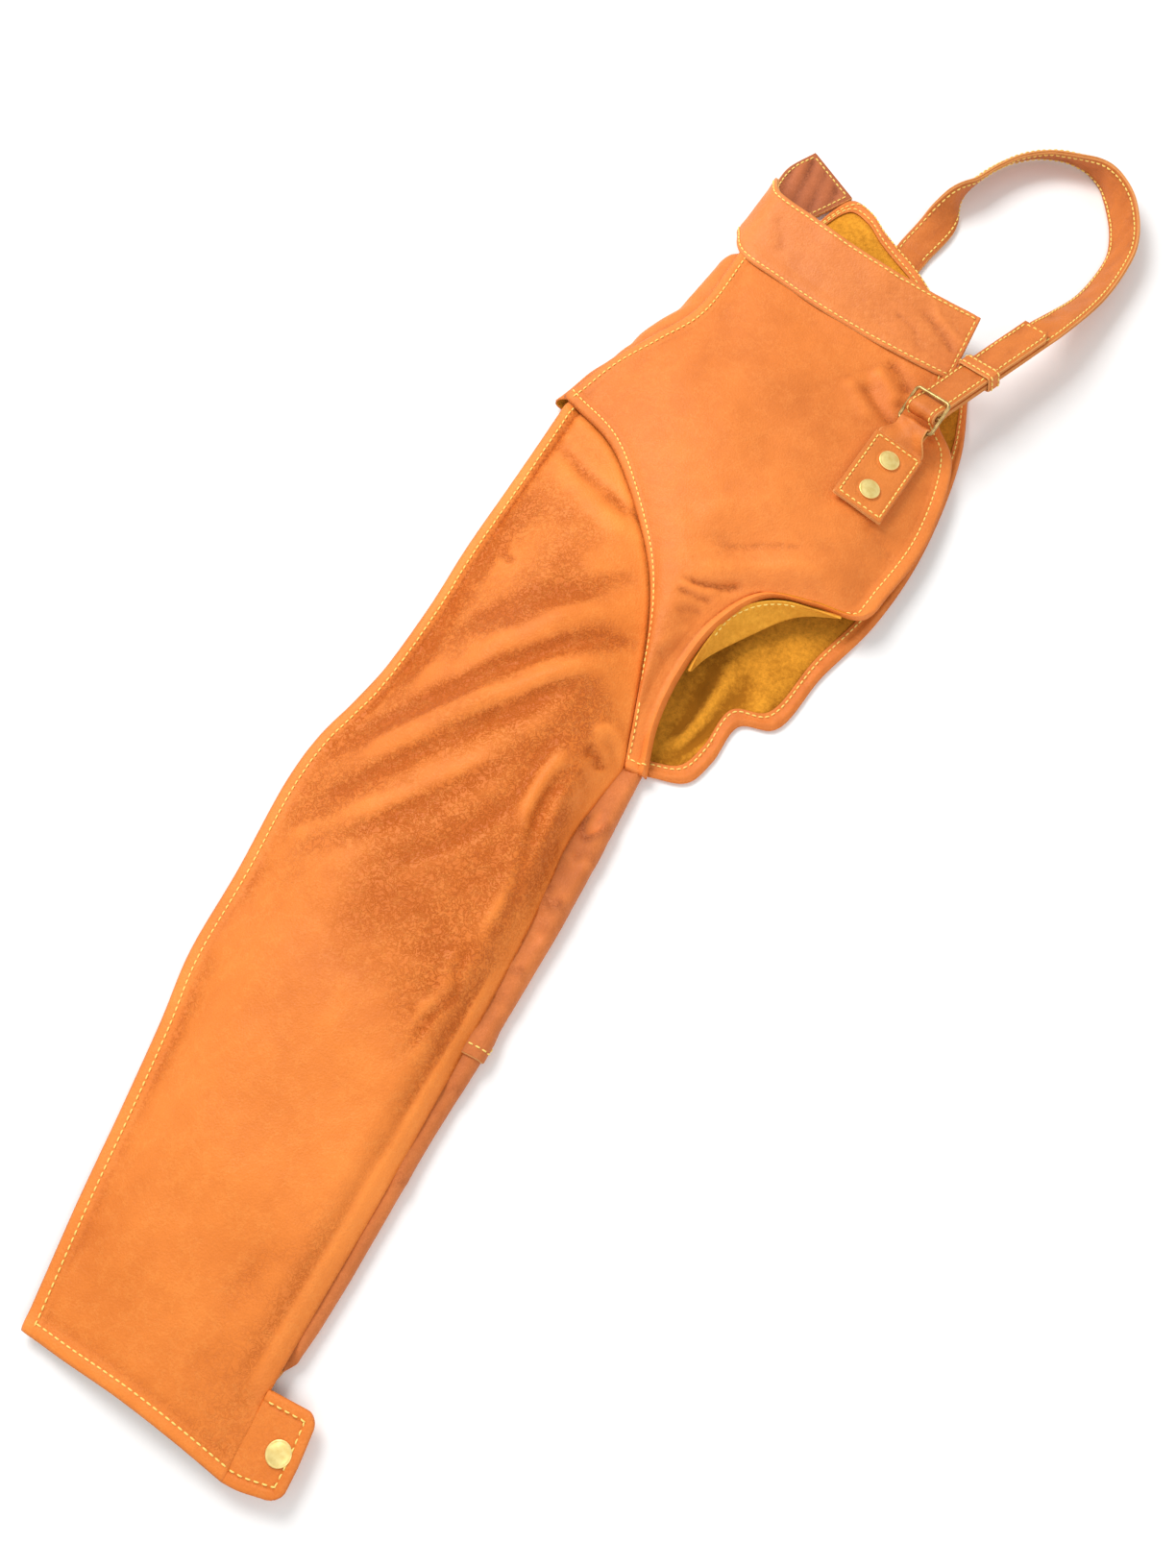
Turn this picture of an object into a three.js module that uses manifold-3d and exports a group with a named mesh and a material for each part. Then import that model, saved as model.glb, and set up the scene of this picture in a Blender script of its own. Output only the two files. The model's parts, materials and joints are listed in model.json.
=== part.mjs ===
// Leather arm-and-shoulder guard: one full sleeve, a front and a back shoulder panel, a collar band,
// a cuff tab, and a chest strap that ends in a wire slide and a snap-on tab. It lies flat on a table.
// Millimetres. +Z is up, +Y runs along the sleeve from the cuff to the collar.
import * as THREE from 'three';
import { mergeVertices } from 'three/addons/utils/BufferGeometryUtils.js';
import Module from 'manifold-3d';

const wasm = await Module();
wasm.setup();

// Driving dimensions
const LEATHER = 1.6;            // thickness of one layer
const LAYER_GAP = 0.5;          // clearance between layers that lie on each other
const SLEEVE_WIDTH = 176;       // flat width at the elbow
const SLEEVE_LENGTH = 470;      // cuff hem to the underarm
const BODY_WIDTH = 270;         // outer shoulder edge to the front edge
const BODY_DEPTH = 400;         // underarm to the neck
const SLEEVE_HEIGHT = 26;       // how high the empty sleeve stands in its middle
const BODY_HEIGHT = 27;         // how high the front panel stands over the back panel
const COLLAR_WIDTH = 50;
const CUFF_TAB_REACH = 32;
const CUFF_TAB_WIDTH = 52;
const STRAP_WIDTH = 25;
const STRAP_TAIL = 112;         // free end that lies on the strap beyond the slide
const STRAP_TILT = 18;          // degrees, far edge raised, at the slide
const SLIDE_LENGTH = 24;        // between the outer bars of the wire slide
const WIRE_DIAMETER = 2.6;
const KEEPER_LENGTH = 10;
const TAB_WIDTH = 38;
const TAB_LENGTH = 62;
const SNAP_SPACING = 29;
const CAP_DIAMETER = 15;

// Working values
const HALF_LEATHER = LEATHER / 2;
const LAYER_PITCH = LEATHER + LAYER_GAP;
const SEAM_GAP = 0.6;           // butted seams
const STRAP_THICKNESS = 2 * LEATHER + LAYER_GAP;
const BAR_CLEARANCE = 0.5;
const STUD_RADIUS = 3.2;
const STUD_HEIGHT = 2.1;
const SOCKET_CLEARANCE = 0.9;
const SOCKET_HEIGHT = 1.5;
const SNAP_STANDOFF = 2.6;      // panel surface to the tab's underside when snapped
const RIVET_RADIUS = 1.3;
const RIVET_HOLE_RADIUS = 1.8;
const CUFF_UNDER_RISE = 3.2;    // lifts the under panel so that its stud clears the table

const colour = { sleeve: 0xe0813a, panel: 0xda7a3c, under: 0xc06a35, collar: 0xcf7440, strap: 0xc56a32,
  suede: 0xc8963c, brass: 0xc9a24a, wire: 0xa8863a };
const finish = {};
for (const [name, value] of Object.entries(colour)) {
  const metal = name === 'brass' || name === 'wire';
  finish[name] = new THREE.MeshStandardMaterial({
    color: value, roughness: metal ? 0.35 : 0.62, metalness: metal ? 1 : 0 });
}

const group = new THREE.Group();
const vec = (x, y, z) => new THREE.Vector3(x, y, z);
const smooth = THREE.MathUtils.smoothstep;
const lerp = THREE.MathUtils.lerp;

function addMesh(name, geometry, material) {
  const mesh = new THREE.Mesh(geometry, material);
  mesh.name = name;
  group.add(mesh);
  return mesh;
}

// Places given as shares of the sleeve's and the body's own sizes
const sleeveAt = (across, along, z) => vec(across * SLEEVE_WIDTH, along * SLEEVE_LENGTH, z);
const bodyAt = (across, along, z) => vec(-0.37 * SLEEVE_WIDTH + across * BODY_WIDTH,
  SLEEVE_LENGTH + along * BODY_DEPTH, z);
const curveThrough = (points) => new THREE.CatmullRomCurve3(points, false, 'centripetal');

// A curve as a function of 0 to 1 by arc length
function along(points) {
  const curve = curveThrough(points);
  curve.arcLengthDivisions = 400;
  return (t) => curve.getPointAt(THREE.MathUtils.clamp(t, 0, 1));
}

// A grid of points between four sides: near and far run with u, start and end run with v
function fourSidedGrid({ near, far, start, end }, us, vs) {
  return vs.map((v) => us.map((u) => {
    const ruledV = near(u).multiplyScalar(1 - v).add(far(u).multiplyScalar(v));
    const ruledU = start(v).multiplyScalar(1 - u).add(end(v).multiplyScalar(u));
    const corners = near(0).multiplyScalar((1 - u) * (1 - v)).add(near(1).multiplyScalar(u * (1 - v)))
      .add(far(0).multiplyScalar((1 - u) * v)).add(far(1).multiplyScalar(u * v));
    return ruledV.add(ruledU).sub(corners);
  }));
}

const spread = (count, low, high) =>
  Array.from({ length: count }, (_, i) => lerp(low, high, i / (count - 1)));

// A closed sheet of even thickness about a grid of points
function sheetGeometry(grid, thickness = LEATHER) {
  const rows = grid.length;
  const columns = grid[0].length;
  const positions = [];
  for (const side of [1, -1]) {
    for (let r = 0; r < rows; r++) {
      for (let c = 0; c < columns; c++) {
        const alongU = grid[r][Math.min(c + 1, columns - 1)].clone().sub(grid[r][Math.max(c - 1, 0)]);
        const alongV = grid[Math.min(r + 1, rows - 1)][c].clone().sub(grid[Math.max(r - 1, 0)][c]);
        const normal = alongU.cross(alongV).normalize();
        positions.push(...grid[r][c].clone().addScaledVector(normal, side * thickness / 2).toArray());
      }
    }
  }
  const index = [];
  const top = (r, c) => r * columns + c;
  const bottom = (r, c) => rows * columns + r * columns + c;
  const quad = (a, b, c, d) => index.push(a, b, c, a, c, d);
  for (let r = 0; r + 1 < rows; r++) {
    for (let c = 0; c + 1 < columns; c++) {
      quad(top(r, c), top(r, c + 1), top(r + 1, c + 1), top(r + 1, c));
      quad(bottom(r, c), bottom(r + 1, c), bottom(r + 1, c + 1), bottom(r, c + 1));
    }
  }
  for (let c = 0; c + 1 < columns; c++) {
    quad(bottom(0, c), bottom(0, c + 1), top(0, c + 1), top(0, c));
    quad(top(rows - 1, c), top(rows - 1, c + 1), bottom(rows - 1, c + 1), bottom(rows - 1, c));
  }
  for (let r = 0; r + 1 < rows; r++) {
    quad(top(r, 0), top(r + 1, 0), bottom(r + 1, 0), bottom(r, 0));
    quad(bottom(r, columns - 1), bottom(r + 1, columns - 1), top(r + 1, columns - 1), top(r, columns - 1));
  }
  const geometry = new THREE.BufferGeometry();
  geometry.setAttribute('position', new THREE.Float32BufferAttribute(positions, 3));
  geometry.setIndex(index);
  return geometry;
}

// Booleans
function toSolid(geometry) {
  const bare = geometry.clone();
  for (const name of Object.keys(bare.attributes)) {
    if (name !== 'position') bare.deleteAttribute(name);
  }
  const merged = mergeVertices(bare, 1e-4);
  return new wasm.Manifold(new wasm.Mesh({ numProp: 3,
    vertProperties: new Float32Array(merged.attributes.position.array),
    triVerts: new Uint32Array(merged.index.array) }));
}

function fromSolid(solid) {
  const mesh = solid.getMesh();
  const geometry = new THREE.BufferGeometry();
  geometry.setAttribute('position', new THREE.BufferAttribute(new Float32Array(mesh.vertProperties), 3));
  geometry.setIndex(new THREE.BufferAttribute(new Uint32Array(mesh.triVerts), 1));
  return geometry;
}

// Rivet holes, each along the z axis of its frame
function punch(mesh, frames) {
  let solid = toSolid(mesh.geometry);
  for (const frame of frames) {
    const drill = new THREE.CylinderGeometry(RIVET_HOLE_RADIUS, RIVET_HOLE_RADIUS, 16, 10);
    drill.rotateX(Math.PI / 2).applyMatrix4(frame);
    solid = solid.subtract(toSolid(drill));
  }
  mesh.geometry = fromSolid(solid);
}

// A flat plate with round corners, from z = 0 up
function roundedPlate(width, length, radius, thickness) {
  const x = width / 2 - radius;
  const y = length / 2 - radius;
  const shape = new THREE.Shape();
  shape.absarc(x, y, radius, 0, Math.PI / 2);
  shape.absarc(-x, y, radius, Math.PI / 2, Math.PI);
  shape.absarc(-x, -y, radius, Math.PI, Math.PI * 1.5);
  shape.absarc(x, -y, radius, Math.PI * 1.5, Math.PI * 2);
  return new THREE.ExtrudeGeometry(shape, { depth: thickness, bevelEnabled: false, curveSegments: 3 });
}

// A turned piece about z from a list of [radius, height]
function turned(profile, segments = 14) {
  const geometry = new THREE.LatheGeometry(profile.map(([r, h]) => new THREE.Vector2(r, h)), segments);
  return geometry.rotateX(Math.PI / 2);
}

function basisFrame(x, y, z, origin) {
  return new THREE.Matrix4().makeBasis(x, y, z).setPosition(origin);
}

// Corner points that the panels share
const LIP_Z = HALF_LEATHER + LAYER_PITCH;
const shoulderPoint = bodyAt(-0.004, 0.593, 14);
const armpitFront = bodyAt(0.575, 0.005, 11);
const neckShoulder = bodyAt(0.228, 0.995, 26);
const neckFront = bodyAt(0.875, 0.912, 22);
const cuffOuter = sleeveAt(-0.403, 0.015, LIP_Z);
const cuffInner = sleeveAt(0.42, -0.022, 13);

// Seam lines on the upper layer
const VENT = 0.105;             // share of the sleeve that is slit behind the cuff tab
const cuffRise = (t) => CUFF_UNDER_RISE * (1 - smooth(t, VENT * 0.9, VENT * 1.8));
const outerLine = along([cuffOuter, sleeveAt(-0.437, 0.11, LIP_Z), sleeveAt(-0.48, 0.235, LIP_Z),
  sleeveAt(-0.537, 0.415, LIP_Z), sleeveAt(-0.576, 0.51, LIP_Z), sleeveAt(-0.579, 0.638, LIP_Z),
  sleeveAt(-0.594, 0.787, LIP_Z), sleeveAt(-0.572, 0.86, LIP_Z + 1), sleeveAt(-0.496, 0.962, LIP_Z + 2),
  bodyAt(-0.054, 0.112, 7), bodyAt(-0.045, 0.25, 9), bodyAt(-0.028, 0.38, 11), bodyAt(-0.015, 0.48, 13),
  shoulderPoint]);
const outerSeam = (t) => outerLine(t).add(vec(0, 0, cuffRise(t)));
const innerFold = along([cuffInner, sleeveAt(0.42, 0.09, 13), sleeveAt(0.452, 0.35, 14),
  sleeveAt(0.472, 0.62, 15), sleeveAt(0.472, 0.76, 16), sleeveAt(0.456, 0.86, 16),
  sleeveAt(0.478, 0.936, 14), armpitFront]);
const cuffHem = along([outerSeam(0), sleeveAt(-0.23, 0.009, 10), sleeveAt(0, 0.003, 15),
  sleeveAt(0.23, -0.009, 15), cuffInner]);
const armholeSeam = along([shoulderPoint, bodyAt(0.165, 0.528, 25), bodyAt(0.304, 0.428, BODY_HEIGHT + 3),
  bodyAt(0.415, 0.325, BODY_HEIGHT + 3), bodyAt(0.478, 0.233, BODY_HEIGHT), bodyAt(0.545, 0.083, 21),
  armpitFront]);
const shoulderSeam = along([shoulderPoint, bodyAt(0.056, 0.678, 21), bodyAt(0.13, 0.758, 24),
  bodyAt(0.197, 0.84, 25), neckShoulder]);
const neckSeam = along([neckShoulder, bodyAt(0.45, 0.945, 29), bodyAt(0.66, 0.92, 27), neckFront]);
const underarmEnd = bodyAt(0.615, 0.022, 10);
const frontOutline = along([neckFront, bodyAt(0.892, 0.828, 17), bodyAt(0.968, 0.765, 15),
  bodyAt(1, 0.602, 15), bodyAt(0.97, 0.47, 19), bodyAt(0.94, 0.405, 22), bodyAt(0.82, 0.388, 26),
  bodyAt(0.705, 0.366, 27), bodyAt(0.63, 0.285, 27), bodyAt(0.6, 0.178, 25), bodyAt(0.602, 0.082, 19),
  underarmEnd]);

// Sleeve top panel: hem to armhole, outer seam to the inner fold
const hump = (u) => smooth(u, 0.04, 0.3) * smooth(1 - u, 0, 0.16);
{
  const us = [0, 0.05, 0.12, 0.22, 0.36, 0.5, 0.64, 0.78, 0.9, 1];
  const grid = fourSidedGrid({ near: cuffHem, far: armholeSeam, start: outerSeam, end: innerFold },
    us, spread(38, 0, 1 - 3 * SEAM_GAP / SLEEVE_LENGTH));
  grid.forEach((row, r) => row.forEach((point, c) => {
    const v = r / (grid.length - 1);
    const swell = smooth(v, 0, 0.25) * smooth(1 - v, 0, 0.2);
    point.z += (SLEEVE_HEIGHT - 14) * swell * hump(us[c]);
  }));
  addMesh('sleeve_top_panel', sheetGeometry(grid), finish.sleeve);
}

// Under sleeve: flat on the table, curls up round the inner side and ends under the top panel's fold.
const inseamX = along([sleeveAt(0.395, 0, 0), sleeveAt(0.4, 0.09, 0), sleeveAt(0.45, 0.14, 0),
  sleeveAt(0.472, 0.21, 0), sleeveAt(0.486, 0.3, 0), sleeveAt(0.503, 0.425, 0), sleeveAt(0.537, 0.575, 0),
  sleeveAt(0.573, 0.81, 0), sleeveAt(0.577, 0.985, 0)]);
const BACK_Z = HALF_LEATHER;
const backArmhole = along([bodyAt(0.045, 0.575, BACK_Z), bodyAt(0.2, 0.36, BACK_Z), bodyAt(0.42, 0.15, BACK_Z),
  bodyAt(0.63, 0.012, BACK_Z)]);
const CROSS_SEAM = 0.56;        // share of the sleeve length
const OUTER_SHARE = 0.985;      // the under panel stops just short of the shoulder point
function underSleeveRow(t) {
  const edge = inseamX(t);
  const outer = outerSeam(t * OUTER_SHARE);
  const armhole = smooth(t, CROSS_SEAM, 1);
  const floorZ = HALF_LEATHER + cuffRise(t * OUTER_SHARE);
  const row = [vec(outer.x, outer.y, Math.max(outer.z - LAYER_PITCH, floorZ))];
  const curlRadius = (innerFold(t).z - 1.3 * LAYER_PITCH - floorZ) / 2;
  const flatEnd = edge.x - curlRadius;
  const curl = smooth(t, VENT, VENT * 1.5);
  for (const share of [0.07, 0.2, 0.4, 0.6, 0.8, 1]) {
    const straight = vec(lerp(outer.x, flatEnd, share), lerp(outer.y, edge.y, share), floorZ);
    const seam = backArmhole(share * 0.9).add(vec(-2 * SEAM_GAP, -2 * SEAM_GAP, 0)).setZ(floorZ);
    row.push(straight.lerp(seam, armhole));
  }
  for (const angle of [45, 90, 135, 180]) {
    const turn = THREE.MathUtils.degToRad(angle) * curl;
    row.push(vec(flatEnd + curlRadius * Math.sin(turn) + (1 - curl) * angle / 60, edge.y,
      floorZ + curlRadius * (1 - Math.cos(turn))));
  }
  const tuck = lerp(8, 22, smooth(t, 0.6, 0.95)) * curl;
  row.push(vec(flatEnd - tuck + (1 - curl) * 4, edge.y, floorZ + 2 * curlRadius * curl));
  return row;
}
addMesh('under_sleeve_lower', sheetGeometry(spread(20, 0.012, CROSS_SEAM).map(underSleeveRow)), finish.under);
addMesh('under_sleeve_upper',
  sheetGeometry(spread(16, CROSS_SEAM + SEAM_GAP / SLEEVE_LENGTH * 1.5, 1).map(underSleeveRow)), finish.under);

// Front panel: the neck is its near side, the armhole its far side
const frontGrid = fourSidedGrid({
  near: neckSeam,
  far: (u) => (u > 0.97 ? armholeSeam(1).lerp(underarmEnd, (u - 0.97) / 0.03) : armholeSeam(u / 0.97)),
  start: (v) => shoulderSeam(1 - v),
  end: frontOutline,
}, spread(17, 0, 1), spread(26, 4 * SEAM_GAP / BODY_DEPTH, 1 - 4 * SEAM_GAP / BODY_DEPTH));
frontGrid.forEach((row, r) => row.forEach((point, c) => {
  const u = c / (row.length - 1);
  const v = r / (frontGrid.length - 1);
  point.z += 4 * smooth(u, 0, 0.3) * smooth(1 - u, 0, 0.3) * Math.sin(Math.PI * v);
}));
const frontPanel = addMesh('front_panel', sheetGeometry(frontGrid), finish.panel);

// Back panel: on the table, curling up at the outer shoulder to meet the front panel's shoulder seam
const STRAP_SEAT = STRAP_THICKNESS + 2 * LAYER_GAP;
const backNeckCorner = bodyAt(0.412, 1.238, BACK_Z);
const backFrontCorner = bodyAt(0.93, 0.93, BACK_Z);
const backShoulder = along([bodyAt(0.045, 0.575, BACK_Z), bodyAt(0.075, 0.7, BACK_Z),
  bodyAt(0.19, 0.86, BACK_Z), bodyAt(0.228, 0.99, BACK_Z), bodyAt(0.24, 1.03, BACK_Z)]);
const backNeck = along([bodyAt(0.24, 1.03, BACK_Z), bodyAt(0.33, 1.13, BACK_Z), backNeckCorner,
  bodyAt(0.55, 1.18, BACK_Z), bodyAt(0.703, 1.11, BACK_Z), backFrontCorner]);
const backOutline = along([bodyAt(0.63, 0.012, BACK_Z), bodyAt(0.72, 0.03, BACK_Z),
  bodyAt(0.752, 0.08, BACK_Z),
  bodyAt(0.772, 0.158, BACK_Z), bodyAt(0.856, 0.18, BACK_Z), bodyAt(0.902, 0.3, BACK_Z),
  bodyAt(0.966, 0.43, BACK_Z), bodyAt(0.999, 0.59, BACK_Z), bodyAt(0.983, 0.8, BACK_Z), backFrontCorner]);
const strapAnchor = bodyAt(0.626, 1.184, STRAP_THICKNESS / 2);
{
  const floorPart = fourSidedGrid({ near: backArmhole, far: backNeck, start: backShoulder, end: backOutline },
    spread(13, 0, 1), spread(22, 0.012, 1));
  const grid = floorPart.map((row, r) => {
    const v = r / (floorPart.length - 1);
    for (const point of row) {
      const reach = Math.hypot(point.x - strapAnchor.x, point.y - strapAnchor.y);
      point.z += STRAP_SEAT * (1 - smooth(reach, 34, 90));
    }
    const foot = row[0];
    const seam = v < 0.86 ? shoulderSeam(v / 0.86) : shoulderSeam(1);
    const tail = smooth(v, 0.84, 0.95);
    const top = vec(seam.x - SEAM_GAP * 2, seam.y + tail * 18, lerp(seam.z, 5, tail));
    const bulge = lerp(lerp(9, 14, smooth(v, 0.25, 0.55)), 5, tail);
    const side = vec(Math.min(foot.x, top.x) - bulge, lerp(top.y, foot.y, 0.5), lerp(foot.z, top.z, 0.5));
    const upper = vec(lerp(side.x, top.x, 0.35), lerp(top.y, foot.y, 0.25), lerp(foot.z, top.z, 0.88));
    const lower = vec(lerp(side.x, foot.x, 0.35), lerp(top.y, foot.y, 0.75), lerp(foot.z, top.z, 0.12));
    lower.z = Math.max(lower.z, foot.z);
    return [top, upper, side, lower, ...row];
  });
  addMesh('back_panel', sheetGeometry(grid), finish.panel);
}

// Collar band: an outer and a facing layer that follow the front neck, fold over the shoulder
// and lie under the back neck. Each station is the band's lower edge and the way to its upper edge.
const collarStations = [
  ...spread(6, 1, 0).map((u) => [neckSeam(u).add(vec(0, SEAM_GAP, 0.4)),
    [lerp(0.1, 0.02, u), 0.96, lerp(0.34, 0.17, u)]]),
  [bodyAt(0.193, 1.035, 22), [0.12, 0.95, 0.28]],
  [bodyAt(0.175, 1.06, 14), [0.14, 0.98, 0.1]],
  [bodyAt(0.195, 1.075, 6.5), [-0.02, 1, 0]],
  [bodyAt(0.25, 1.105, 3), [-0.32, 0.94, 0]],
  [bodyAt(0.32, 1.165, 2.8), [-0.65, 0.76, 0]],
  [bodyAt(0.4, 1.245, 2.8), [-0.83, 0.55, 0]],
];
{
  const lower = along(collarStations.map(([point]) => point));
  const upper = along(collarStations.map(([point, way]) =>
    point.clone().addScaledVector(vec(...way).normalize(), COLLAR_WIDTH)));
  const bandGrid = (offset) => {
    const mid = spread(6, 0, 1).map((v) => spread(40, 0, 1).map((u) => upper(u).lerp(lower(u), v)));
    return mid.map((row, r) => row.map((point, c) => {
      const alongBand = row[Math.min(c + 1, 39)].clone().sub(row[Math.max(c - 1, 0)]);
      const across = mid[Math.min(r + 1, 5)][c].clone().sub(mid[Math.max(r - 1, 0)][c]);
      return point.clone().addScaledVector(alongBand.cross(across).normalize(), offset);
    }));
  };
  addMesh('collar_outer', sheetGeometry(bandGrid(LAYER_PITCH / 2)), finish.collar);
  addMesh('collar_facing', sheetGeometry(bandGrid(-LAYER_PITCH / 2)), finish.collar);
}

// Snaps. A male half stands on a panel's outer face; a female half hangs under a tab.
function addTurned(name, profile, frame, material) {
  addMesh(name, turned(profile), material).applyMatrix4(frame);
}

function addMaleSnap(prefix, frame) {
  const below = -LEATHER - 0.4;
  addTurned(`${prefix}_stud`, [[0, 1.5], [1.7, 1.5], [1.7, 0.35], [4.5, 0.35], [4.5, 0.75], [2.8, 0.75],
    [STUD_RADIUS, 1.5], [2.7, STUD_HEIGHT], [0, STUD_HEIGHT]], frame, finish.brass);
  addTurned(`${prefix}_post`, [[0, below - 0.7], [4.6, below - 0.7], [4.6, below], [RIVET_RADIUS, below],
    [RIVET_RADIUS, 1.1], [0, 1.1]], frame, finish.brass);
}

function addFemaleSnap(prefix, frame, tabThickness) {
  const inner = STUD_RADIUS + SOCKET_CLEARANCE;
  const capBase = tabThickness + 0.3;
  const rim = CAP_DIAMETER / 2;
  addTurned(`${prefix}_socket`, [[inner, -0.3 - SOCKET_HEIGHT], [inner + 2, -0.3 - SOCKET_HEIGHT],
    [inner + 2, -0.3], [inner, -0.3], [inner, -0.3 - SOCKET_HEIGHT]], frame, finish.brass);
  addTurned(`${prefix}_cap`, [[0, 0.1], [RIVET_RADIUS, 0.1], [RIVET_RADIUS, capBase], [rim - 0.5, capBase],
    [rim, capBase + 0.4], [rim - 0.9, capBase + 1], [rim * 0.5, capBase + 1.35], [0, capBase + 1.5]],
    frame, finish.brass);
}

// Snap tab: a patch of two layers on the front panel, held by two snaps
function surfaceFrame(mesh, centre, yaw, halfWidth, halfLength) {
  const caster = new THREE.Raycaster();
  const heading = vec(Math.sin(yaw), Math.cos(yaw), 0);
  const side = vec(Math.cos(yaw), -Math.sin(yaw), 0);
  const hit = (x, y) => {
    const above = centre.clone().addScaledVector(side, x).addScaledVector(heading, y).setZ(500);
    caster.set(above, vec(0, 0, -1));
    return caster.intersectObject(mesh)[0].point;
  };
  const zAxis = hit(halfWidth, 0).sub(hit(-halfWidth, 0)).cross(hit(0, halfLength).sub(hit(0, -halfLength)));
  zAxis.normalize();
  const xAxis = heading.clone().cross(zAxis).normalize();
  const origin = hit(0, 0);
  let proud = 0;
  for (const [x, y] of [[1, 1], [1, -1], [-1, 1], [-1, -1], [0, 1], [0, -1]]) {
    proud = Math.max(proud, hit(x * halfWidth, y * halfLength).sub(origin).dot(zAxis));
  }
  return basisFrame(xAxis, zAxis.clone().cross(xAxis), zAxis, origin.addScaledVector(zAxis, proud));
}
const moved = (frame, x, y, z) => frame.clone().multiply(new THREE.Matrix4().makeTranslation(x, y, z));
const PATCH_THICKNESS = 2 * LEATHER + LAYER_GAP;
const tabOnPanel = surfaceFrame(frontPanel, bodyAt(0.817, 0.652, 0), THREE.MathUtils.degToRad(8),
  TAB_WIDTH / 2, TAB_LENGTH / 2);
const tabUnderside = moved(tabOnPanel, 0, 0, SNAP_STANDOFF);
{
  const snapFrames = [1, -1].map((side) => moved(tabOnPanel, 0, side * SNAP_SPACING / 2, 0));
  const tabFrames = [1, -1].map((side) => moved(tabUnderside, 0, side * SNAP_SPACING / 2, 0));
  punch(frontPanel, snapFrames);
  ['upper', 'lower'].forEach((name, i) => {
    addMaleSnap(`${name}_snap`, snapFrames[i]);
    addFemaleSnap(`${name}_snap`, tabFrames[i], PATCH_THICKNESS);
  });
  ['tab_patch_base', 'tab_patch_top'].forEach((name, layer) => {
    const plate = roundedPlate(TAB_WIDTH, TAB_LENGTH, 2, LEATHER);
    plate.applyMatrix4(moved(tabUnderside, 0, 0, layer * LAYER_PITCH));
    punch(addMesh(name, plate, finish.panel), tabFrames);
  });
}

// Ribbon of one layer: stations hold a middle point and the way across
function ribbon(stations, width, offset) {
  const grid = stations.map(({ point, across, halfWidth = width / 2 }, i) => {
    const before = stations[Math.max(i - 1, 0)].point;
    const after = stations[Math.min(i + 1, stations.length - 1)].point;
    const normal = across.clone().cross(after.clone().sub(before)).normalize();
    const middle = point.clone().addScaledVector(normal, offset);
    return [-1, 0, 1].map((side) => middle.clone().addScaledVector(across, side * halfWidth));
  });
  return sheetGeometry(grid);
}

// Wire slide, tilted with the strap: its own frame has y along the strap and x across it
const NECK_LENGTH = 17;
const BAR_RISE = 0.24 * STRAP_WIDTH;  // the tilted strap's low edge clears the panel
const SLIDE_PITCH = THREE.MathUtils.degToRad(38);
const strapWay = vec(0.43, 0.9, -0.05).normalize();
const levelAcross = strapWay.clone().cross(vec(0, 0, 1)).normalize();
const tilt = THREE.MathUtils.degToRad(STRAP_TILT);
const strapAcross = levelAcross.clone().multiplyScalar(Math.cos(tilt))
  .addScaledVector(levelAcross.clone().cross(strapWay), Math.sin(tilt)).normalize();
const strapNormal = strapAcross.clone().cross(strapWay);
const barHeight = SNAP_STANDOFF + PATCH_THICKNESS / 2 + BAR_RISE;
const lowerBar = vec(0, TAB_LENGTH / 2 + NECK_LENGTH, barHeight).applyMatrix4(tabOnPanel);
const slideWay = strapWay.clone().multiplyScalar(Math.cos(SLIDE_PITCH))
  .addScaledVector(strapNormal, Math.sin(SLIDE_PITCH));
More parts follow.
